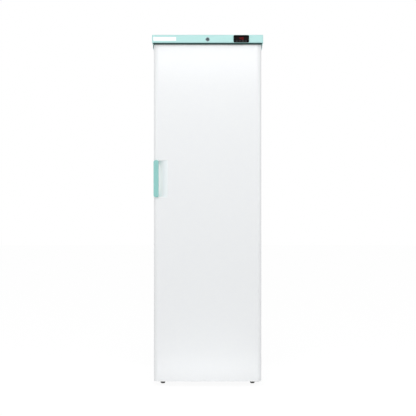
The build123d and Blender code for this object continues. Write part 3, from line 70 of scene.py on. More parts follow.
# The room is a white studio: an even white surround, one broad lamp above the front, one
# at each side, a low one that lifts the foot of the door, and a pale floor.
class Wire:
    """A shader socket in a sum: each operator adds the Math node that the sum needs."""

    def __init__(self, socket):
        self.socket = socket

    def math(self, operation, first, second):
        node = self.socket.id_data.nodes.new("ShaderNodeMath")
        node.operation = operation
        join(node.inputs[0], first)
        join(node.inputs[1], second)
        return Wire(node.outputs[0])

    def __add__(self, other):
        return self.math("ADD", self, other)

    def __mul__(self, other):
        return self.math("MULTIPLY", self, other)

    __radd__ = __add__
    __rmul__ = __mul__


def join(socket, value):
    """Links a wire to a node's socket, or sets the socket to a plain value."""
    if isinstance(value, Wire):
        socket.id_data.links.new(value.socket, socket)
    else:
        socket.default_value = value


class Finish:
    """The node tree of a material or of the room."""

    def __init__(self, owner):
        self.material = owner
        owner.use_nodes = True
        self.tree = owner.node_tree
        self.tree.nodes.clear()

    def add(self, kind, settings=None, sockets=None, output=0):
        """One node: its settings first, then its sockets' values or links."""
        node = self.tree.nodes.new(kind)
        for name, value in (settings or {}).items():
            setattr(node, name, value)
        for name, value in (sockets or {}).items():
            join(node.inputs[name], value)
        return Wire(node.outputs[output]) if node.outputs else None


white = (1.0, 1.0, 1.0, 1.0)
world = Finish(bpy.data.worlds.new("studio"))
bpy.context.scene.world = world.material
eye = world.add("ShaderNodeLightPath", output="Is Camera Ray")
gloss = world.add("ShaderNodeLightPath", output="Is Glossy Ray")
through = world.add("ShaderNodeLightPath", output="Is Transmission Ray")
seen = eye.math("MAXIMUM", eye.math("MAXIMUM", eye, gloss), through)
surround_level = 0.56
surround = world.add("ShaderNodeBackground", sockets={
    "Color": white, "Strength": surround_level + seen * (1 - surround_level)})
world.add("ShaderNodeOutputWorld", sockets={"Surface": surround})


def lamp(name, place, target, size, watts):
    """A soft lamp that faces a point and that no camera sees."""
    data = bpy.data.lights.new(name, "AREA")
    data.shape = "RECTANGLE"
    data.size, data.size_y = size
    data.energy = watts
    light = bpy.data.objects.new(name, data)
    light.location = place
    aim = Vector(target) - Vector(place)
    light.rotation_euler = aim.to_track_quat("-Z", "Y").to_euler()
    light.visible_camera = False
    bpy.context.collection.objects.link(light)


lamp("lamp_above", (0.0, -3.2, 3.0), (0, -0.3, 1.3), (1.8, 1.8), 34)
lamp("lamp_left", (-2.6, -2.4, 1.7), (0, 0, 1.0), (1.6, 1.6), 12)
lamp("lamp_right", (2.6, -2.4, 1.7), (0, 0, 1.0), (1.6, 1.6), 10)
lamp("lamp_low", (0.0, -0.6, 0.06), (0, -0.3, 0.06), (0.7, 0.1), 0.15)


def primitive(add, place, **settings):
    """Adds a primitive with nothing else selected, and gives it back."""
    if bpy.context.object and bpy.context.object.mode != "OBJECT":
        bpy.ops.object.mode_set(mode="OBJECT")
    bpy.ops.object.select_all(action="DESELECT")
    add(location=place, **settings)
    bpy.ops.object.transform_apply(location=True, rotation=True, scale=True)
    return bpy.context.object


floor_size, floor_back = 30, 2.0
floor_seen_share, floor_glow = 0.85, 1.08
floor = primitive(
    bpy.ops.mesh.primitive_plane_add, (0, floor_back, cad_low.z), size=floor_size)
floor.name = "floor"
floor_finish = Finish(bpy.data.materials.new("pale_floor"))
eye = floor_finish.add("ShaderNodeLightPath", output="Is Camera Ray")
gloss = floor_finish.add("ShaderNodeLightPath", output="Is Glossy Ray")
seen = eye.math("MAXIMUM", eye, gloss)
matt = floor_finish.add("ShaderNodeBsdfDiffuse", sockets={"Color": (0.86, 0.86, 0.86, 1.0)})
glow = floor_finish.add("ShaderNodeEmission", sockets={"Color": white, "Strength": floor_glow})
pale = floor_finish.add("ShaderNodeMixShader", sockets={
    0: seen * floor_seen_share, 1: matt, 2: glow})
floor_finish.add("ShaderNodeOutputMaterial", sockets={"Surface": pale})
floor.data.materials.append(floor_finish.material)


# The outer casing is one sheet of steel, bent over the roof and down both sides, with a
# flange turned in all round the opening. It is stove-enamelled white, and the sprayed
# enamel dries with a faint orange-peel texture.
def shade(red, green, blue):
    """A colour read from 0 to 255, as the shader's linear colour."""
    linear = [((value / 255 + 0.055) / 1.055) ** 2.4 for value in (red, green, blue)]
    return (*linear, 1.0)


class Surface(Finish):
    """A material on the piece's own Object coordinates, with the patterns it is mixed from."""

    def __init__(self, name):
        super().__init__(bpy.data.materials.new(name))
        self.place = self.add("ShaderNodeTexCoord", output="Object")

    def noise(self, scale, detail=2.0, stretch=(1, 1, 1)):
        """Soft random spots, drawn out along an axis by a stretch under one."""
        place = self.add("ShaderNodeMapping", sockets={"Vector": self.place, "Scale": stretch})
        return self.add("ShaderNodeTexNoise", sockets={
            "Vector": place, "Scale": scale, "Detail": detail})

    def cells(self, scale, output="Distance"):
        """Random cells, such as crystals or foam."""
        return self.add(
            "ShaderNodeTexVoronoi", sockets={"Vector": self.place, "Scale": scale}, output=output)

    def between(self, mask, first, second):
        """A colour that goes from the first to the second with a mask."""
        return self.add(
            "ShaderNodeMix", {"data_type": "RGBA"}, {0: mask, 6: first, 7: second}, output=2)

    def contrast(self, value, low, high):
        """Stretches the band between two values to the whole range."""
        return self.add("ShaderNodeMapRange", sockets={
            "Value": value, "From Min": low, "From Max": high})

    def close(self, colour, roughness, relief, depth, constants=None):
        """Ends the material in its shader, with the relief as bumps of a depth."""
        normal = self.add("ShaderNodeBump", sockets={"Height": relief, "Distance": depth})
        shader = self.add("ShaderNodeBsdfPrincipled", sockets={
            "Base Color": colour, "Roughness": roughness, "Normal": normal, **(constants or {})})
        self.add("ShaderNodeOutputMaterial", sockets={"Surface": shader})


def coat(surface, *nodes):
    """Gives CAD nodes a material."""
    for name in nodes:
        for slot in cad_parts[name].material_slots:
            slot.material = surface.material


enamel = Surface("white_enamel")
peel = enamel.noise(420, 2.0)
enamel.close(
    enamel.between(enamel.noise(40, 3.0), shade(242, 244, 246), shade(244, 246, 247)),
    0.24 + peel * 0.05, peel, 0.00006, {"Coat Weight": 0.3, "Coat Roughness": 0.12},
)


def middle(part):
    """Where a face, an edge or a corner of the mesh in hand lies."""
    corners = getattr(part, "verts", [part])
    return sum((corner.co for corner in corners), Vector()) / len(corners)


def pick(kind, test):
    """In edit mode, selects the faces, edges or corners that pass a test."""
    bpy.ops.mesh.select_mode(type=kind)
    bpy.ops.mesh.select_all(action="DESELECT")
    mesh = bmesh.from_edit_mesh(bpy.context.object.data)
    for part in {"FACE": mesh.faces, "EDGE": mesh.edges, "VERT": mesh.verts}[kind]:
        part.select_set(test(part))
    bmesh.update_edit_mesh(bpy.context.object.data)


def near(first, second):
    """Whether two lengths are the same to a twentieth of a millimetre."""
    return abs(first - second) < 0.00005


def modify(kind, **settings):
    """Puts a modifier on the piece in hand and applies it."""
    bpy.ops.object.modifier_add(type=kind)
    modifier = bpy.context.object.modifiers[-1]
    for name, value in settings.items():
        setattr(modifier, name, value)
    bpy.ops.object.modifier_apply(modifier=modifier.name)


def settle(piece, name, body, slot, surface, *nodes):
    """Finishes a piece: its name, body, material, and the CAD nodes that it stands for."""
    piece.name = name
    piece.data.name = name
    piece.data.materials.clear()
    piece.data.materials.append(surface.material)
    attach(piece, body)
    if nodes:
        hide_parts(*nodes)


casing_sheet, casing_bend = 0.001, 0.002
flange_width, liner_clear = 0.044, 0.0002
low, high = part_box("outer_wrap")
mouth_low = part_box("inner_liner")[0].z - liner_clear
foam_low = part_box("insulation_foam")[0].z
casing = primitive(
    bpy.ops.mesh.primitive_cube_add, (low + high) / 2, size=1, scale=high - low)
bpy.ops.object.mode_set(mode="EDIT")
pick("FACE", lambda face: face.normal.y > 0.9 or face.normal.z < -0.9)
bpy.ops.mesh.delete(type="FACE")
pick("FACE", lambda face: face.normal.y < -0.9)
bpy.ops.mesh.inset(thickness=flange_width)
bpy.ops.mesh.delete(type="FACE")
pick("VERT", lambda corner: near(corner.co.z, low.z + flange_width))
bpy.ops.transform.translate(value=(0, 0, mouth_low - low.z - flange_width))
pick("FACE", lambda face: face.normal.y < -0.9)
bpy.ops.mesh.bisect(plane_co=(0, 0, foam_low), plane_no=(0, 0, 1))
pick("FACE", lambda face: face.normal.y < -0.9 and middle(face).z < foam_low)
bpy.ops.mesh.delete(type="FACE")
pick("EDGE", lambda edge: len(edge.link_faces) == 2 and edge.calc_face_angle() > 1)
bpy.ops.mesh.bevel(offset=casing_bend, segments=3)
bpy.ops.object.mode_set(mode="OBJECT")
modify("SOLIDIFY", thickness=casing_sheet, offset=-1)
bpy.ops.object.shade_smooth_by_angle(angle=0.6)
settle(casing, "casing", "cabinet", "white_steel", enamel, "outer_wrap")

# The sheet behind, the floor pan, the roller brackets and the hinge plates are zinc-plated
# steel. The plating dries in dull crystals of a few millimetres and is drawn in the bends.
# Blind rivets hold the sheet behind to the casing's edges.
zinc = Surface("zinc_plated_steel")
crystals = zinc.cells(90, "Color")
tone = zinc.add("ShaderNodeSeparateColor", sockets={"Color": crystals})
drawn = zinc.noise(40, 3.0, (1, 1, 0.08))
zinc.close(
    zinc.between(tone * 0.6 + drawn * 0.4, shade(158, 163, 168), shade(196, 200, 203)),
    0.30 + tone * 0.12, drawn, 0.00005, {"Metallic": 0.9},
)
coat(
    zinc, "back_panel", "base_plate", "roller_brackets", "roller_axles", "top_hinge_bracket",
    "bottom_hinge_bracket", "hinge_pins", "lock_cam", "lock_keeper",
)


def take(*pieces):
    """Selects these pieces alone, and takes the first of them in hand."""
    bpy.ops.object.select_all(action="DESELECT")
    for piece in pieces:
        piece.select_set(True)
    bpy.context.view_layer.objects.active = pieces[0]


def duplicate(piece, shift):
    """A copy of a piece with its own mesh, moved by a shift."""
    take(piece)
    bpy.ops.object.duplicate(linked=False)
    bpy.ops.transform.translate(value=shift)
    bpy.ops.object.transform_apply(location=True, rotation=True, scale=True)
    return bpy.context.object


def merge(pieces):
    """Makes one piece of several."""
    take(*pieces)
    bpy.ops.object.join()
    return bpy.context.object


rivet_radius, rivet_head = 0.004, 0.001
rivet_crown, crown_rise = 0.0012, 0.0005
rivet_dish, dish_depth = 0.0014, 0.0006
rivet_inset, rivet_pitch, rivet_rows = 0.012, 0.18, 8
low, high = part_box("back_panel")
rivet_low = high.z - (rivet_rows - 1) * rivet_pitch - rivet_inset
rivet = primitive(
    bpy.ops.mesh.primitive_cylinder_add,
    (low.x + rivet_inset, high.y + rivet_head / 2, rivet_low),
    vertices=16, radius=rivet_radius, depth=rivet_head, rotation=(pi / 2, 0, 0))
bpy.ops.object.mode_set(mode="EDIT")
pick("FACE", lambda face: face.normal.y > 0.9)
bpy.ops.mesh.inset(thickness=rivet_crown, depth=crown_rise)
bpy.ops.mesh.inset(thickness=rivet_dish, depth=-dish_depth)
bpy.ops.object.mode_set(mode="OBJECT")
across = high.x - low.x - 2 * rivet_inset
rivets = [rivet] + [
    duplicate(rivet, (side * across, 0, step * rivet_pitch))
    for side in (0, 1) for step in range(rivet_rows) if side or step]
settle(merge(rivets), "panel_rivets", "cabinet", "zinc_steel", zinc)

# Rigid polyurethane foam fills the walls and the door. It rises in the mould, so its cells
# are uneven, and its skin is cream, darker where it met the sheet.
foam = Surface("rigid_foam")
froth = foam.cells(700)
stain = foam.contrast(foam.noise(9, 4.0), 0.4, 0.7)
foam.close(
    foam.between(stain, shade(238, 226, 184), shade(222, 204, 152)),
    0.9, froth, 0.0003, {"Specular IOR Level": 0.2},
)
coat(foam, "insulation_foam", "door_foam")

# The inner compartment and the door's inside are drawn from white polystyrene sheet, which
# keeps a low, even gloss and a very fine grain from the mould.
liner = Surface("liner_polystyrene")
grain = liner.noise(1500, 2.0)
draw_marks = liner.contrast(liner.noise(5, 2.0, (1, 1, 0.3)), 0.3, 0.7)
liner.close(
    liner.between(draw_marks, shade(242, 244, 244), shade(247, 248, 247)),
    0.30 + draw_marks * 0.08, grain, 0.00004,
)
coat(liner, "inner_liner", "door_liner")

# Each levelling foot is a puck of grey nylon with grooves to grip it by, spanner flats, and
# a threaded stud. The nylon is scuffed pale where it has been turned and dragged.
foot_nylon = Surface("foot_nylon")
scuff = foot_nylon.contrast(foot_nylon.noise(160, 5.0), 0.5, 0.72)
foot_nylon.close(
    foot_nylon.between(scuff, shade(84, 84, 82), shade(106, 105, 102)),
    0.45 + scuff * 0.25, foot_nylon.noise(900), 0.0001,
)
puck_height, puck_round, puck_top_round = 0.024, 0.006, 0.0015
collar_height, collar_radius, collar_edge = 0.003, 0.0098, 0.0005
groove_width, groove_depth, groove_slope = 0.0015, 0.0006, 0.0002
groove_rises = (0.0125, 0.0165, 0.0205)
stud_radius, stud_sunk, thread_depth, thread_pitch = 0.0049, 0.0005, 0.0005, 0.0015
low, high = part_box("front_foot_left")
puck_radius = (high.x - low.x) / 2
axis_x, axis_y = (low.x + high.x) / 2, (low.y + high.y) / 2
puck_top = low.z + puck_height
collar_top = puck_top + collar_height
puck = primitive(
    bpy.ops.mesh.primitive_cylinder_add, (axis_x, axis_y, low.z + puck_height / 2),
    vertices=48, radius=puck_radius, depth=puck_height)
bpy.ops.object.mode_set(mode="EDIT")
pick("EDGE", lambda edge: all(near(end.co.z, low.z) for end in edge.verts))
bpy.ops.mesh.bevel(offset=puck_round, segments=5)
pick("EDGE", lambda edge: all(near(end.co.z, puck_top) for end in edge.verts))
bpy.ops.mesh.bevel(offset=puck_top_round, segments=2)
for rise in groove_rises:
    for edge_rise in (rise, rise + groove_width):
        pick("FACE", lambda face: abs(face.normal.z) < 0.1)
        bpy.ops.mesh.bisect(plane_co=(0, 0, low.z + edge_rise), plane_no=(0, 0, 1))
pick("FACE", lambda face: abs(face.normal.z) < 0.1 and any(
    rise < middle(face).z - low.z < rise + groove_width for rise in groove_rises))
bpy.ops.mesh.inset(thickness=groove_slope, depth=-groove_depth)
bpy.ops.object.mode_set(mode="OBJECT")
bpy.ops.object.shade_smooth_by_angle(angle=0.5)
collar = primitive(
    bpy.ops.mesh.primitive_cylinder_add, (axis_x, axis_y, puck_top + collar_height / 2),
    vertices=6, radius=collar_radius, depth=collar_height)
modify("BEVEL", width=collar_edge, segments=2)
stud = primitive(
    bpy.ops.mesh.primitive_circle_add, (axis_x, axis_y, collar_top - stud_sunk),
    vertices=24, radius=stud_radius, fill_type="NGON")
bpy.ops.object.mode_set(mode="EDIT")
bpy.ops.mesh.select_all(action="SELECT")
root_share = 1 - thread_depth / stud_radius
for turn in range(int((high.z - collar_top) / thread_pitch)):
    for share in (root_share, 1 / root_share):
        bpy.ops.mesh.extrude_region_move(
            TRANSFORM_OT_translate={"value": (0, 0, thread_pitch / 2)})
        bpy.ops.transform.resize(
            value=(share, share, 1), center_override=(axis_x, axis_y, 0))
bpy.ops.mesh.select_all(action="SELECT")
bpy.ops.mesh.normals_make_consistent(inside=False)
bpy.ops.object.mode_set(mode="OBJECT")
left_foot = merge([puck, collar, stud])
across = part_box("front_foot_right")[0].x - low.x
right_foot = duplicate(left_foot, (across, 0, 0))
settle(left_foot, "left_foot", "foot_left", "foot_plastic", foot_nylon, "front_foot_left")
settle(right_foot, "right_foot", "foot_right", "foot_plastic", foot_nylon, "front_foot_right")

# The rear rollers and the hinge bushes are natural nylon, slightly yellow, with floor dirt
# pressed into the treads.
nylon = Surface("natural_nylon")
dirt = nylon.contrast(nylon.noise(120, 5.0), 0.45, 0.75)
nylon.close(
    nylon.between(dirt, shade(232, 229, 218), shade(212, 208, 196)),
    0.42 + dirt * 0.2, nylon.noise(700), 0.00008, {"Subsurface Weight": 0.1},
)
coat(nylon, "roller_left", "roller_right", "door_bushes")

# The control fascia is moulded in mint ABS, satin from a finely etched mould. It rests on
# the roof and hangs over the door.
mint = Surface("mint_abs")
etch = mint.noise(1800, 2.0)
flow = mint.contrast(mint.noise(6, 3.0), 0.35, 0.7)
mint.close(
    mint.between(flow, shade(180, 227, 224), shade(184, 230, 227)),
    0.34 + flow * 0.06, etch, 0.00005,
)
coat(mint, "fascia")

# A bare white name strip lies on the fascia's left end: a rounded plate of thin aluminium,
# lacquered white, with nothing printed on it.
lacquer = Surface("white_lacquer")
cloud = lacquer.contrast(lacquer.noise(20, 3.0), 0.35, 0.7)
lacquer.close(
    lacquer.between(cloud, shade(244, 246, 248), shade(250, 251, 252)),
    0.22 + cloud * 0.05, lacquer.noise(600), 0.00003, {"Coat Weight": 0.4},
)


def round_corners(offset, segments):
    """In edit mode, rounds the edges of a plate that run from its front to its back."""
    pick("EDGE", lambda edge: near(edge.verts[0].co.x, edge.verts[1].co.x)
         and near(edge.verts[0].co.z, edge.verts[1].co.z))
    bpy.ops.mesh.bevel(offset=offset, segments=segments)


strip_width, strip_height, strip_sheet, strip_corner = 0.122, 0.0205, 0.0006, 0.003
strip_rim, strip_rim_rise = 0.0004, 0.0001
strip_left_gap, strip_drop = 0.007, 0.0225
low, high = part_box("fascia")
strip = primitive(
    bpy.ops.mesh.primitive_cube_add,
    (low.x + strip_left_gap + strip_width / 2, low.y - strip_sheet / 2, high.z - strip_drop),
    size=1, scale=(strip_width, strip_sheet, strip_height))
bpy.ops.object.mode_set(mode="EDIT")
round_corners(strip_corner, 5)
pick("FACE", lambda face: face.normal.y < -0.9)
bpy.ops.mesh.inset(thickness=strip_rim, depth=strip_rim_rise)
bpy.ops.object.mode_set(mode="OBJECT")
settle(strip, "name_strip", "cabinet", "white_plastic", lacquer)

# A dark green strip lies under the fascia's lower edge, in the gap above the door. It is painted
# shadow: a dark sheet put where the gap under the fascia falls into shade.
strip_rubber = Surface("strip_rubber")
mottle = strip_rubber.contrast(strip_rubber.noise(60, 4.0), 0.45, 0.75)
# The strip's dark colour is painted shadow, with a faint random mottle in it.
strip_rubber.close(
    strip_rubber.between(mottle, shade(48, 70, 69), shade(58, 80, 79)),
    0.7 + mottle * 0.1, strip_rubber.noise(900), 0.00005, {"Specular IOR Level": 0.1},
)
shadow_strip_width, shadow_strip_height, shadow_strip_depth, shadow_strip_round = 0.583, 0.0046, 0.018, 0.0012
shadow_strip_set_back, door_clear = 0.0008, 0.0004
fascia_front, door_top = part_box("fascia")[0].y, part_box("door_top_cap")[1].z
# The strip is painted shadow: a dark sheet that stands in for the shade in the gap under the
# fascia.
gap_shadow_strip = primitive(
    bpy.ops.mesh.primitive_cube_add,
    (0, fascia_front + shadow_strip_set_back + shadow_strip_depth / 2,
     door_top + door_clear + shadow_strip_height / 2),
    size=1, scale=(shadow_strip_width, shadow_strip_depth, shadow_strip_height))
modify("BEVEL", width=shadow_strip_round, segments=3)
bpy.ops.object.shade_smooth_by_angle(angle=0.6)
settle(gap_shadow_strip, "gap_shadow_strip", "cabinet", "dark_rubber", strip_rubber)

# The top cover, the door's end caps and the fan's housing are white ABS.
white_abs = Surface("white_abs")
etch = white_abs.noise(1600, 2.0)
flow = white_abs.contrast(white_abs.noise(5, 3.0), 0.35, 0.7)
white_abs.close(
    white_abs.between(flow, shade(240, 242, 242), shade(245, 246, 246)),
    0.36 + flow * 0.08, etch, 0.00005,
)
coat(
    white_abs, "top_cover", "door_top_cap", "door_bottom_cap", "fan_cover",
    "temperature_probe", "door_switch_body", "door_switch_plunger", "drip_tray",
)

# The controller's case is the blackest ABS, dead matt so that nothing mirrors in it.
case_black = Surface("case_black")
grain = case_black.noise(1100, 3.0)
case_black.close(
    case_black.between(grain, shade(4, 3, 3), shade(9, 7, 8)),
    0.5 + grain * 0.1, grain, 0.00006, {"Specular IOR Level": 0.03},
)
coat(case_black, "controller_case")

# The fan's frame and blades, the relay's cover, the condenser's spacers and the gland are
# black moulded nylon with a fine grain.
black = Surface("black_plastic")
grain = black.noise(1100, 3.0)
worn = black.contrast(black.noise(60, 5.0), 0.5, 0.75)
black.close(
    black.between(worn, shade(24, 23, 24), shade(36, 35, 36)),
    0.42 + worn * 0.15, grain, 0.0001, {"Specular IOR Level": 0.3},
)
coat(
    black, "fan_frame", "fan_impeller", "relay_cover", "condenser_spacers", "mains_gland",
)

# A smoked red filter covers the display. Two figures of seven thin bars each lie on its
# front, and the lit ones glow a dim red.
smoked = Surface("smoked_filter")
smear = smoked.contrast(smoked.noise(40, 3.0), 0.4, 0.7)
smoked.close(
    smoked.between(smear, shade(20, 4, 5), shade(26, 6, 7)),
    0.12 + smear * 0.05, smoked.noise(300), 0.00001, {"Specular IOR Level": 0.03},
)
coat(smoked, "display_window")
lit = Surface("lit_bar")
core = lit.noise(900, 1.0)
lit.close(
    lit.between(core, shade(150, 22, 26), shade(176, 30, 32)), 0.3 + core * 0.1, core, 0.00001,
    {"Emission Color": shade(170, 26, 28), "Emission Strength": 0.2, "Specular IOR Level": 0.03},
)
unlit = Surface("unlit_bar")
core = unlit.noise(900, 1.0)
unlit.close(
    unlit.between(core, shade(40, 9, 11), shade(46, 11, 13)), 0.3 + core * 0.1, core, 0.00001,
    {"Specular IOR Level": 0.03},
)
bar_length, bar_width, bar_sheet = 0.0060, 0.0014, 0.0001
bar_spacing = 0.54  # of a bar's length, from a figure's middle
corners_over_flats = 1.15  # of the hexagon that a bar starts from
figure_pitch, figure_left = 0.0120, 0.002
low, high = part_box("display_window")
figure_middle = ((low.x + high.x) / 2 - figure_left, low.y, (low.z + high.z) / 2)
bar = primitive(
    bpy.ops.mesh.primitive_cylinder_add, figure_middle,
    vertices=6, radius=bar_length / 2, depth=bar_sheet, rotation=(pi / 2, 0, 0))
bpy.ops.object.mode_set(mode="EDIT")
bpy.ops.mesh.select_all(action="SELECT")
bpy.ops.transform.rotate(value=pi / 2, orient_axis="Y", center_override=figure_middle)
bpy.ops.transform.resize(
    value=(1, 1, corners_over_flats * bar_width / bar_length), center_override=figure_middle)
bpy.ops.object.mode_set(mode="OBJECT")
upright = duplicate(bar, (0, 0, 0))
bpy.ops.object.mode_set(mode="EDIT")
bpy.ops.mesh.select_all(action="SELECT")
bpy.ops.transform.rotate(value=pi / 2, orient_axis="Y", center_override=figure_middle)
bpy.ops.object.mode_set(mode="OBJECT")
level_bars = {"top": (0, 2), "middle": (0, 0), "foot": (0, -2)}
upright_bars = {
    "upper_left": (-1, 1), "upper_right": (1, 1), "lower_left": (-1, -1), "lower_right": (1, -1)}
figures = [
    ("upper_left", "upper_right", "middle", "lower_right"),
    ("top", "upper_left", "upper_right", "lower_left", "lower_right", "foot")]
glowing, dark = [], []
for place, figure in enumerate(figures):
    for bars, shape in ((level_bars, bar), (upright_bars, upright)):
        for name, (across, up) in bars.items():
            shift = Vector((across, 0, up)) * bar_length * bar_spacing
            shift.x += (place - 0.5) * figure_pitch
            (glowing if name in figure else dark).append(duplicate(shape, shift))
take(bar, upright)
bpy.ops.object.delete()
settle(merge(glowing), "lit_bars", "cabinet", "display", lit)
settle(merge(dark), "unlit_bars", "cabinet", "display", unlit)

# The four keys beside the display are dark grey silicone caps, scuffed slightly paler in
# patches.
key_grey = Surface("key_silicone")
worn = key_grey.contrast(key_grey.noise(300, 4.0), 0.45, 0.7)
key_grey.close(
    key_grey.between(worn, shade(40, 41, 43), shade(52, 54, 57)),
    0.5 + worn * 0.15, key_grey.noise(2400), 0.00005,
)
coat(key_grey, "key_power", "key_down", "key_up", "key_set")

# The lock's rose and barrel are brass, turned and chromed, and the rose's face is filled
# with dark enamel inside its bright rim. The plug is darker, pressed steel, and turns the
# cam through a long square tail.
chrome = Surface("chrome")
face_radius, rim_edge = 0.0085, 0.0004
low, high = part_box("lock_plug")
lock_axis = Vector(((low.x + high.x) / 2, 0, (low.z + high.z) / 2))
from_axis = chrome.add(
    "ShaderNodeVectorMath", {"operation": "SUBTRACT"}, {0: chrome.place, 1: lock_axis})
flat = chrome.add("ShaderNodeVectorMath", {"operation": "MULTIPLY"}, {0: from_axis, 1: (1, 0, 1)})
radius = chrome.add("ShaderNodeVectorMath", {"operation": "LENGTH"}, {0: flat}, output="Value")
rim = chrome.contrast(radius, face_radius, face_radius + rim_edge)
turned = chrome.noise(500, 2.0, (0.1, 1, 1))
chrome.close(
    chrome.between(rim, shade(30, 46, 50), chrome.between(
        turned, shade(124, 136, 140), shade(146, 157, 160))),
    0.28 + turned * 0.08, turned, 0.00001, {"Metallic": 1.0},
)
coat(chrome, "lock_barrel")
plug_steel = Surface("plug_steel")
turned = plug_steel.noise(700, 2.0)
plug_steel.close(
    plug_steel.between(turned, shade(40, 52, 56), shade(58, 70, 74)),
    0.35 + turned * 0.1, turned, 0.00002, {"Metallic": 0.6},
)
coat(plug_steel, "lock_plug")

# Four countersunk screws with a cross recess hold the hinge plates. They are zinc-plated
# and brighter than the plates.
bright_zinc = Surface("bright_zinc")
turned = bright_zinc.noise(900, 2.0)
bright_zinc.close(
    bright_zinc.between(turned, shade(186, 190, 194), shade(214, 217, 220)),
    0.22 + turned * 0.1, turned, 0.00002, {"Metallic": 1.0},
)
head_radius, shank_radius, head_depth, screw_length = 0.0055, 0.003, 0.0024, 0.003
top_pitch, foot_pitch = 0.024, 0.016
recess_length, recess_width, recess_depth = 0.0062, 0.0012, 0.0024
low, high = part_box("cabinet_screws")
screw_place = Vector((high.x - head_radius - foot_pitch / 2, high.y - head_radius, high.z))
screw = primitive(
    bpy.ops.mesh.primitive_cone_add, screw_place - Vector((0, 0, head_depth / 2)),
    vertices=32, radius1=shank_radius, radius2=head_radius, depth=head_depth)
bpy.ops.object.mode_set(mode="EDIT")
pick("FACE", lambda face: face.normal.z < -0.9)
bpy.ops.mesh.extrude_region_move(
    TRANSFORM_OT_translate={"value": (0, 0, head_depth - screw_length)})
bpy.ops.object.mode_set(mode="OBJECT")
for across, along in ((recess_length, recess_width), (recess_width, recess_length)):
    recess = primitive(
        bpy.ops.mesh.primitive_cube_add, screw_place, size=1,
        scale=(across, along, recess_depth))
    bpy.context.view_layer.objects.active = screw
    modify("BOOLEAN", object=recess, operation="DIFFERENCE")
    bpy.ops.object.delete()
top_screws = [screw, duplicate(screw, (0, -top_pitch, 0))]
foot_screw = duplicate(screw, (0, 0, 0))
bpy.ops.object.mode_set(mode="EDIT")
bpy.ops.mesh.select_all(action="SELECT")
bpy.ops.transform.rotate(value=-pi / 2, orient_axis="X", center_override=screw_place)
foot_place = Vector((high.x - head_radius, low.y, low.z + head_radius))
bpy.ops.transform.translate(value=foot_place - screw_place)
bpy.ops.object.mode_set(mode="OBJECT")
foot_screws = [foot_screw, duplicate(foot_screw, (-foot_pitch, 0, 0))]
screws = merge(top_screws + foot_screws)
settle(screws, "hinge_screws", "cabinet", "zinc_steel", bright_zinc, "cabinet_screws")

# The door's skin is one sheet of the same enamelled steel as the casing, folded round the
# door's edges.
coat(enamel, "door_panel")

# The door's seal is pale grey soft vinyl, welded at its mitred corners: a foot in the
# door's edge, folds that let it stretch, and a flat lip round the magnet strip.
seal = Surface("seal_vinyl")
bloom = seal.contrast(seal.noise(30, 4.0), 0.4, 0.7)
seal.close(
    seal.between(bloom, shade(206, 208, 208), shade(222, 223, 222)),
    0.55 + bloom * 0.1, seal.noise(1200), 0.00005,
)
low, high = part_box("door_gasket")
seal_profile = [
    (0.0, 0.0), (0.0006, 0.0032), (0.0036, 0.0038), (0.0044, 0.0062), (0.0056, 0.0050),
    (0.0062, 0.0100), (0.0076, 0.0117), (0.0160, 0.0117), (0.0172, 0.0100), (0.0180, 0.0050),
    (0.0192, 0.0062), (0.0200, 0.0036), (0.0254, 0.0032), (0.0260, 0.0)]
seal_middle = Vector(((low.x + high.x) / 2, low.y, (low.z + high.z) / 2))
seal_band = primitive(
    bpy.ops.mesh.primitive_plane_add, seal_middle, size=1, rotation=(-pi / 2, 0, 0))
bpy.ops.object.mode_set(mode="EDIT")
bpy.ops.mesh.select_all(action="SELECT")
bpy.ops.transform.resize(
    value=(high.x - low.x, 1, high.z - low.z), center_override=seal_middle)
for (inset, height), (next_inset, next_height) in zip(seal_profile, seal_profile[1:]):
    bpy.ops.mesh.inset(thickness=next_inset - inset, depth=next_height - height)
bpy.ops.mesh.delete(type="FACE")
pick("EDGE", lambda edge: len(edge.link_faces) == 1)
bpy.ops.mesh.bridge_edge_loops()
bpy.ops.mesh.select_all(action="SELECT")
bpy.ops.mesh.normals_make_consistent(inside=False)
bpy.ops.object.mode_set(mode="OBJECT")
settle(seal_band, "door_seal", "door", "gasket_rubber", seal, "door_gasket")

# The scooped cup in the door's edge is moulded in white ABS. Its colour is greyer towards the
# slope on the door's face, which is painted shade, and a faint even glow over the whole cup is
# painted light that lifts the shade in the scoop.
cup_abs = Surface("cup_abs")
slope_start, slope_end = 0.02, 0.012
low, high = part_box("handle_cup")
along = cup_abs.add("ShaderNodeSeparateXYZ", sockets={"Vector": cup_abs.place}, output="X")
painted_slope_shade = cup_abs.contrast(along, low.x + slope_start, high.x - slope_end)
# Painted shade: the colour greys towards the slope. Painted light: the emission's faint glow.
cup_abs.close(
    cup_abs.between(painted_slope_shade, shade(252, 248, 248), shade(231, 235, 237)),
    0.28 + painted_slope_shade * 0.06, cup_abs.noise(1600), 0.00003,
    {"Emission Color": shade(248, 250, 251), "Emission Strength": 0.13},
)
coat(cup_abs, "handle_cup")

# The grip is moulded in a deeper mint than the fascia, and stands on two feet in the cup.
grip_mint = Surface("grip_abs")
etch = grip_mint.noise(1800, 2.0)
flow = grip_mint.contrast(grip_mint.noise(12, 3.0), 0.35, 0.7)
grip_mint.close(
    grip_mint.between(flow, shade(147, 207, 202), shade(152, 211, 206)),
    0.30 + flow * 0.06, etch, 0.00005,
)
coat(grip_mint, "handle_grip")


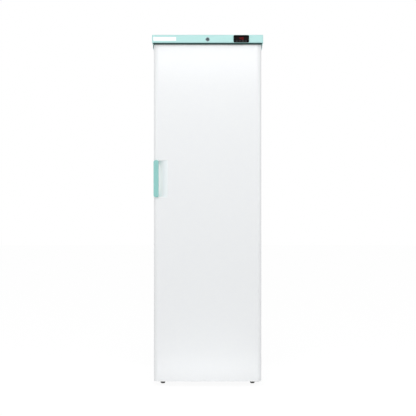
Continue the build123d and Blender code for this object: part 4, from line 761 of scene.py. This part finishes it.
# Five shelves of steel wire, welded and dipped in white polyethylene: a bent frame and
# fifteen wires across it, which meet the frame on its middle.
def tube(route, bend, radius, sides):
    """Draws a ring along straight runs, and spins it round a bend at each corner."""
    corners = [Vector(place) for place in route]
    along = corners[1] - corners[0]
    piece = primitive(
        bpy.ops.mesh.primitive_circle_add, corners[0], vertices=sides, radius=radius,
        rotation=along.to_track_quat("Z", "Y").to_euler(), fill_type="NGON")
    bpy.ops.object.mode_set(mode="EDIT")
    bpy.ops.mesh.select_all(action="SELECT")
    here = corners[0]
    for before, corner, after in zip(corners, corners[1:], corners[2:]):
        into = (corner - before).normalized()
        out = (after - corner).normalized()
        turn = into.angle(out)
        start = corner - into * bend * tan(turn / 2)
        if (start - here).length > 0.00001:
            bpy.ops.mesh.extrude_region_move(TRANSFORM_OT_translate={"value": start - here})
        inward = (out - into * into.dot(out)).normalized()
        bpy.ops.mesh.spin(
            steps=6, angle=-turn, center=start + inward * bend, axis=into.cross(out).normalized())
        here = corner + out * bend * tan(turn / 2)
    bpy.ops.mesh.extrude_region_move(TRANSFORM_OT_translate={"value": corners[-1] - here})
    bpy.ops.mesh.select_all(action="SELECT")
    bpy.ops.mesh.normals_make_consistent(inside=False)
    bpy.ops.object.mode_set(mode="OBJECT")
    bpy.ops.object.shade_smooth_by_angle(angle=0.9)
    return piece


dipped = Surface("dipped_wire")
sag = dipped.contrast(dipped.noise(80, 3.0), 0.35, 0.7)
dipped.close(
    dipped.between(sag, shade(234, 236, 236), shade(243, 244, 244)),
    0.28 + sag * 0.1, dipped.noise(350), 0.0001, {"Coat Weight": 0.2},
)
frame_rod, cross_wire, corner_bend, wire_count = 0.003, 0.0018, 0.014, 15
low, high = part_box("shelf_1")
left, right = low.x + frame_rod, high.x - frame_rod
front, back = low.y + frame_rod, high.y - frame_rod
shelf_z = (low.z + high.z) / 2
frame_route = [
    (0, front, shelf_z), (right, front, shelf_z), (right, back, shelf_z),
    (left, back, shelf_z), (left, front, shelf_z), (0, front, shelf_z)]
shelf_wires = [tube(frame_route, corner_bend, frame_rod, 12)]
wire_pitch = (right - left) / (wire_count + 1)
first_wire = [(left + wire_pitch, end, shelf_z) for end in (front, back)]
shelf_wires.append(tube(first_wire, 0, cross_wire, 8))
for step in range(1, wire_count):
    shelf_wires.append(duplicate(shelf_wires[1], (step * wire_pitch, 0, 0)))
shelf = merge(shelf_wires)
for number in range(1, 6):
    node = f"shelf_{number}"
    copy = duplicate(shelf, (0, 0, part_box(node)[0].z - low.z))
    settle(copy, f"wire_shelf_{number}", "cabinet", "shelf_wire", dipped, node)
take(shelf)
bpy.ops.object.delete()

# The evaporator is two aluminium sheets rolled together, with the refrigerant's channel
# blown up between them, on four standoffs with screws through the corners.
rolled = Surface("rolled_aluminium")
lines = rolled.noise(60, 3.0, (1, 1, 0.03))
cloud = rolled.contrast(rolled.noise(14, 4.0), 0.35, 0.7)
rolled.close(
    rolled.between(cloud, shade(196, 198, 200), shade(214, 216, 218)),
    0.34 + lines * 0.16, lines, 0.00006, {"Metallic": 0.9},
)
plate_sheet, plate_corner = 0.0016, 0.006
channel_pitch, channel_count, channel_inset = 0.076, 11, 0.020
channel_width, channel_rise = 0.009, 0.003
sunk_share = 0.9  # of the sheet that the channel is cut off at
screw_inset, screw_rise = 0.014, 0.030
standoff_radius, standoff_edge = 0.006, 0.0006
button_radius, button_height, button_round = 0.005, 0.0018, 0.0009
low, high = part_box("evaporator_plate")
plate_front = low.y + channel_rise
plate = primitive(
    bpy.ops.mesh.primitive_cube_add,
    ((low.x + high.x) / 2, plate_front + plate_sheet / 2, (low.z + high.z) / 2),
    size=1, scale=(high.x - low.x, plate_sheet, high.z - low.z))
bpy.ops.object.mode_set(mode="EDIT")
round_corners(plate_corner, 4)
bpy.ops.object.mode_set(mode="OBJECT")
turn_x = high.x - channel_inset
channel_low = (low.z + high.z) / 2 - channel_pitch * (channel_count - 1) / 2
channel_route = []
for row in range(channel_count):
    ends = (-turn_x, turn_x) if row % 2 == 0 else (turn_x, -turn_x)
    channel_route += [(end, plate_front, channel_low + row * channel_pitch) for end in ends]
channel_route[0] = (-turn_x + channel_pitch / 2, plate_front, channel_low)
channel_route[-1] = (turn_x - channel_pitch / 2, plate_front, channel_route[-1][2])
channel = tube(channel_route, channel_pitch / 2, channel_width / 2, 12)
bpy.ops.object.mode_set(mode="EDIT")
bpy.ops.mesh.select_all(action="SELECT")
bpy.ops.transform.resize(
    value=(1, 2 * channel_rise / channel_width, 1), center_override=(0, plate_front, 0))
bpy.ops.mesh.bisect(
    plane_co=(0, plate_front + plate_sheet * sunk_share, 0), plane_no=(0, 1, 0),
    clear_outer=True, use_fill=True)
bpy.ops.object.mode_set(mode="OBJECT")
standoff_length = high.y - plate_front - plate_sheet
standoff = primitive(
    bpy.ops.mesh.primitive_cylinder_add,
    (low.x + screw_inset, high.y - standoff_length / 2, low.z + screw_rise),
    vertices=24, radius=standoff_radius, depth=standoff_length, rotation=(pi / 2, 0, 0))
modify("BEVEL", width=standoff_edge, segments=2, limit_method="ANGLE")
button = primitive(
    bpy.ops.mesh.primitive_cylinder_add,
    (low.x + screw_inset, plate_front - button_height / 2, low.z + screw_rise),
    vertices=24, radius=button_radius, depth=button_height, rotation=(pi / 2, 0, 0))
modify("BEVEL", width=button_round, segments=3, limit_method="ANGLE")
across, up = high.x - low.x - 2 * screw_inset, high.z - low.z - 2 * screw_rise
corners = [standoff, button] + [
    duplicate(piece, shift)
    for piece in (standoff, button) for shift in ((across, 0, 0), (0, 0, up), (across, 0, up))]
evaporator = merge([plate, channel] + corners)
bpy.ops.object.shade_smooth_by_angle(angle=0.6)
settle(evaporator, "evaporator", "cabinet", "aluminium", rolled, "evaporator_plate")

# The lamp's cover is frosted acrylic. Its fine etch scatters the light, so it looks evenly
# white.
frosted = Surface("frosted_acrylic")
etch = frosted.noise(1300, 3.0)
cloud = frosted.contrast(frosted.noise(8, 2.0), 0.3, 0.7)
frosted.close(
    frosted.between(cloud, shade(240, 241, 236), shade(248, 248, 244)),
    0.45 + cloud * 0.1, etch, 0.0001, {"Subsurface Weight": 0.3},
)
coat(frosted, "light_lens")

# The compressor's can, and the condenser behind the cabinet, are dipped in black paint. The
# condenser is one long tube bent to and fro, with upright wires spot-welded to both faces.
black_paint = Surface("black_dip_paint")
runs = black_paint.contrast(black_paint.noise(35, 5.0), 0.4, 0.75)
black_paint.close(
    black_paint.between(runs, shade(20, 20, 21), shade(32, 32, 33)),
    0.32 + runs * 0.2, black_paint.noise(260, 3.0), 0.00012, {"Coat Weight": 0.15},
)
coat(black_paint, "compressor", "condenser_wires")
coil_tube, coil_pitch, coil_count = 0.0025, 0.074, 18
low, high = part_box("condenser_tube")
coil_y = (low.y + high.y) / 2
coil_turn = high.x - coil_tube
coil_route = []
for row in range(coil_count):
    ends = (coil_turn, -coil_turn) if row % 2 == 0 else (-coil_turn, coil_turn)
    coil_route += [(end, coil_y, low.z + coil_tube + row * coil_pitch) for end in ends]
coil_route[0] = (coil_turn - coil_pitch / 2, *coil_route[0][1:])
coil_route[-1] = (coil_turn - coil_pitch / 2, *coil_route[-1][1:])
coil = tube(coil_route, coil_pitch / 2, coil_tube, 12)
settle(coil, "condenser_coil", "cabinet", "coil_black", black_paint, "condenser_tube")

# Four mounts of black rubber carry the compressor. Dust from the floor greys them in
# patches.
mount_rubber = Surface("mount_rubber")
mottle = mount_rubber.contrast(mount_rubber.noise(140, 4.0), 0.5, 0.75)
mount_rubber.close(
    mount_rubber.between(mottle, shade(34, 33, 33), shade(62, 60, 58)),
    0.75 + mottle * 0.15, mount_rubber.noise(800), 0.0001,
)
coat(mount_rubber, "compressor_grommets")

# The pipes and the drier are drawn copper, bright in places and tarnished to brown in
# others.
copper = Surface("drawn_copper")
tarnish = copper.contrast(copper.noise(45, 5.0), 0.4, 0.72)
copper.close(
    copper.between(tarnish, shade(206, 134, 96), shade(140, 84, 62)),
    0.26 + tarnish * 0.25, copper.noise(400), 0.00003, {"Metallic": 1.0},
)
coat(copper, "suction_pipe", "discharge_pipe", "filter_drier")
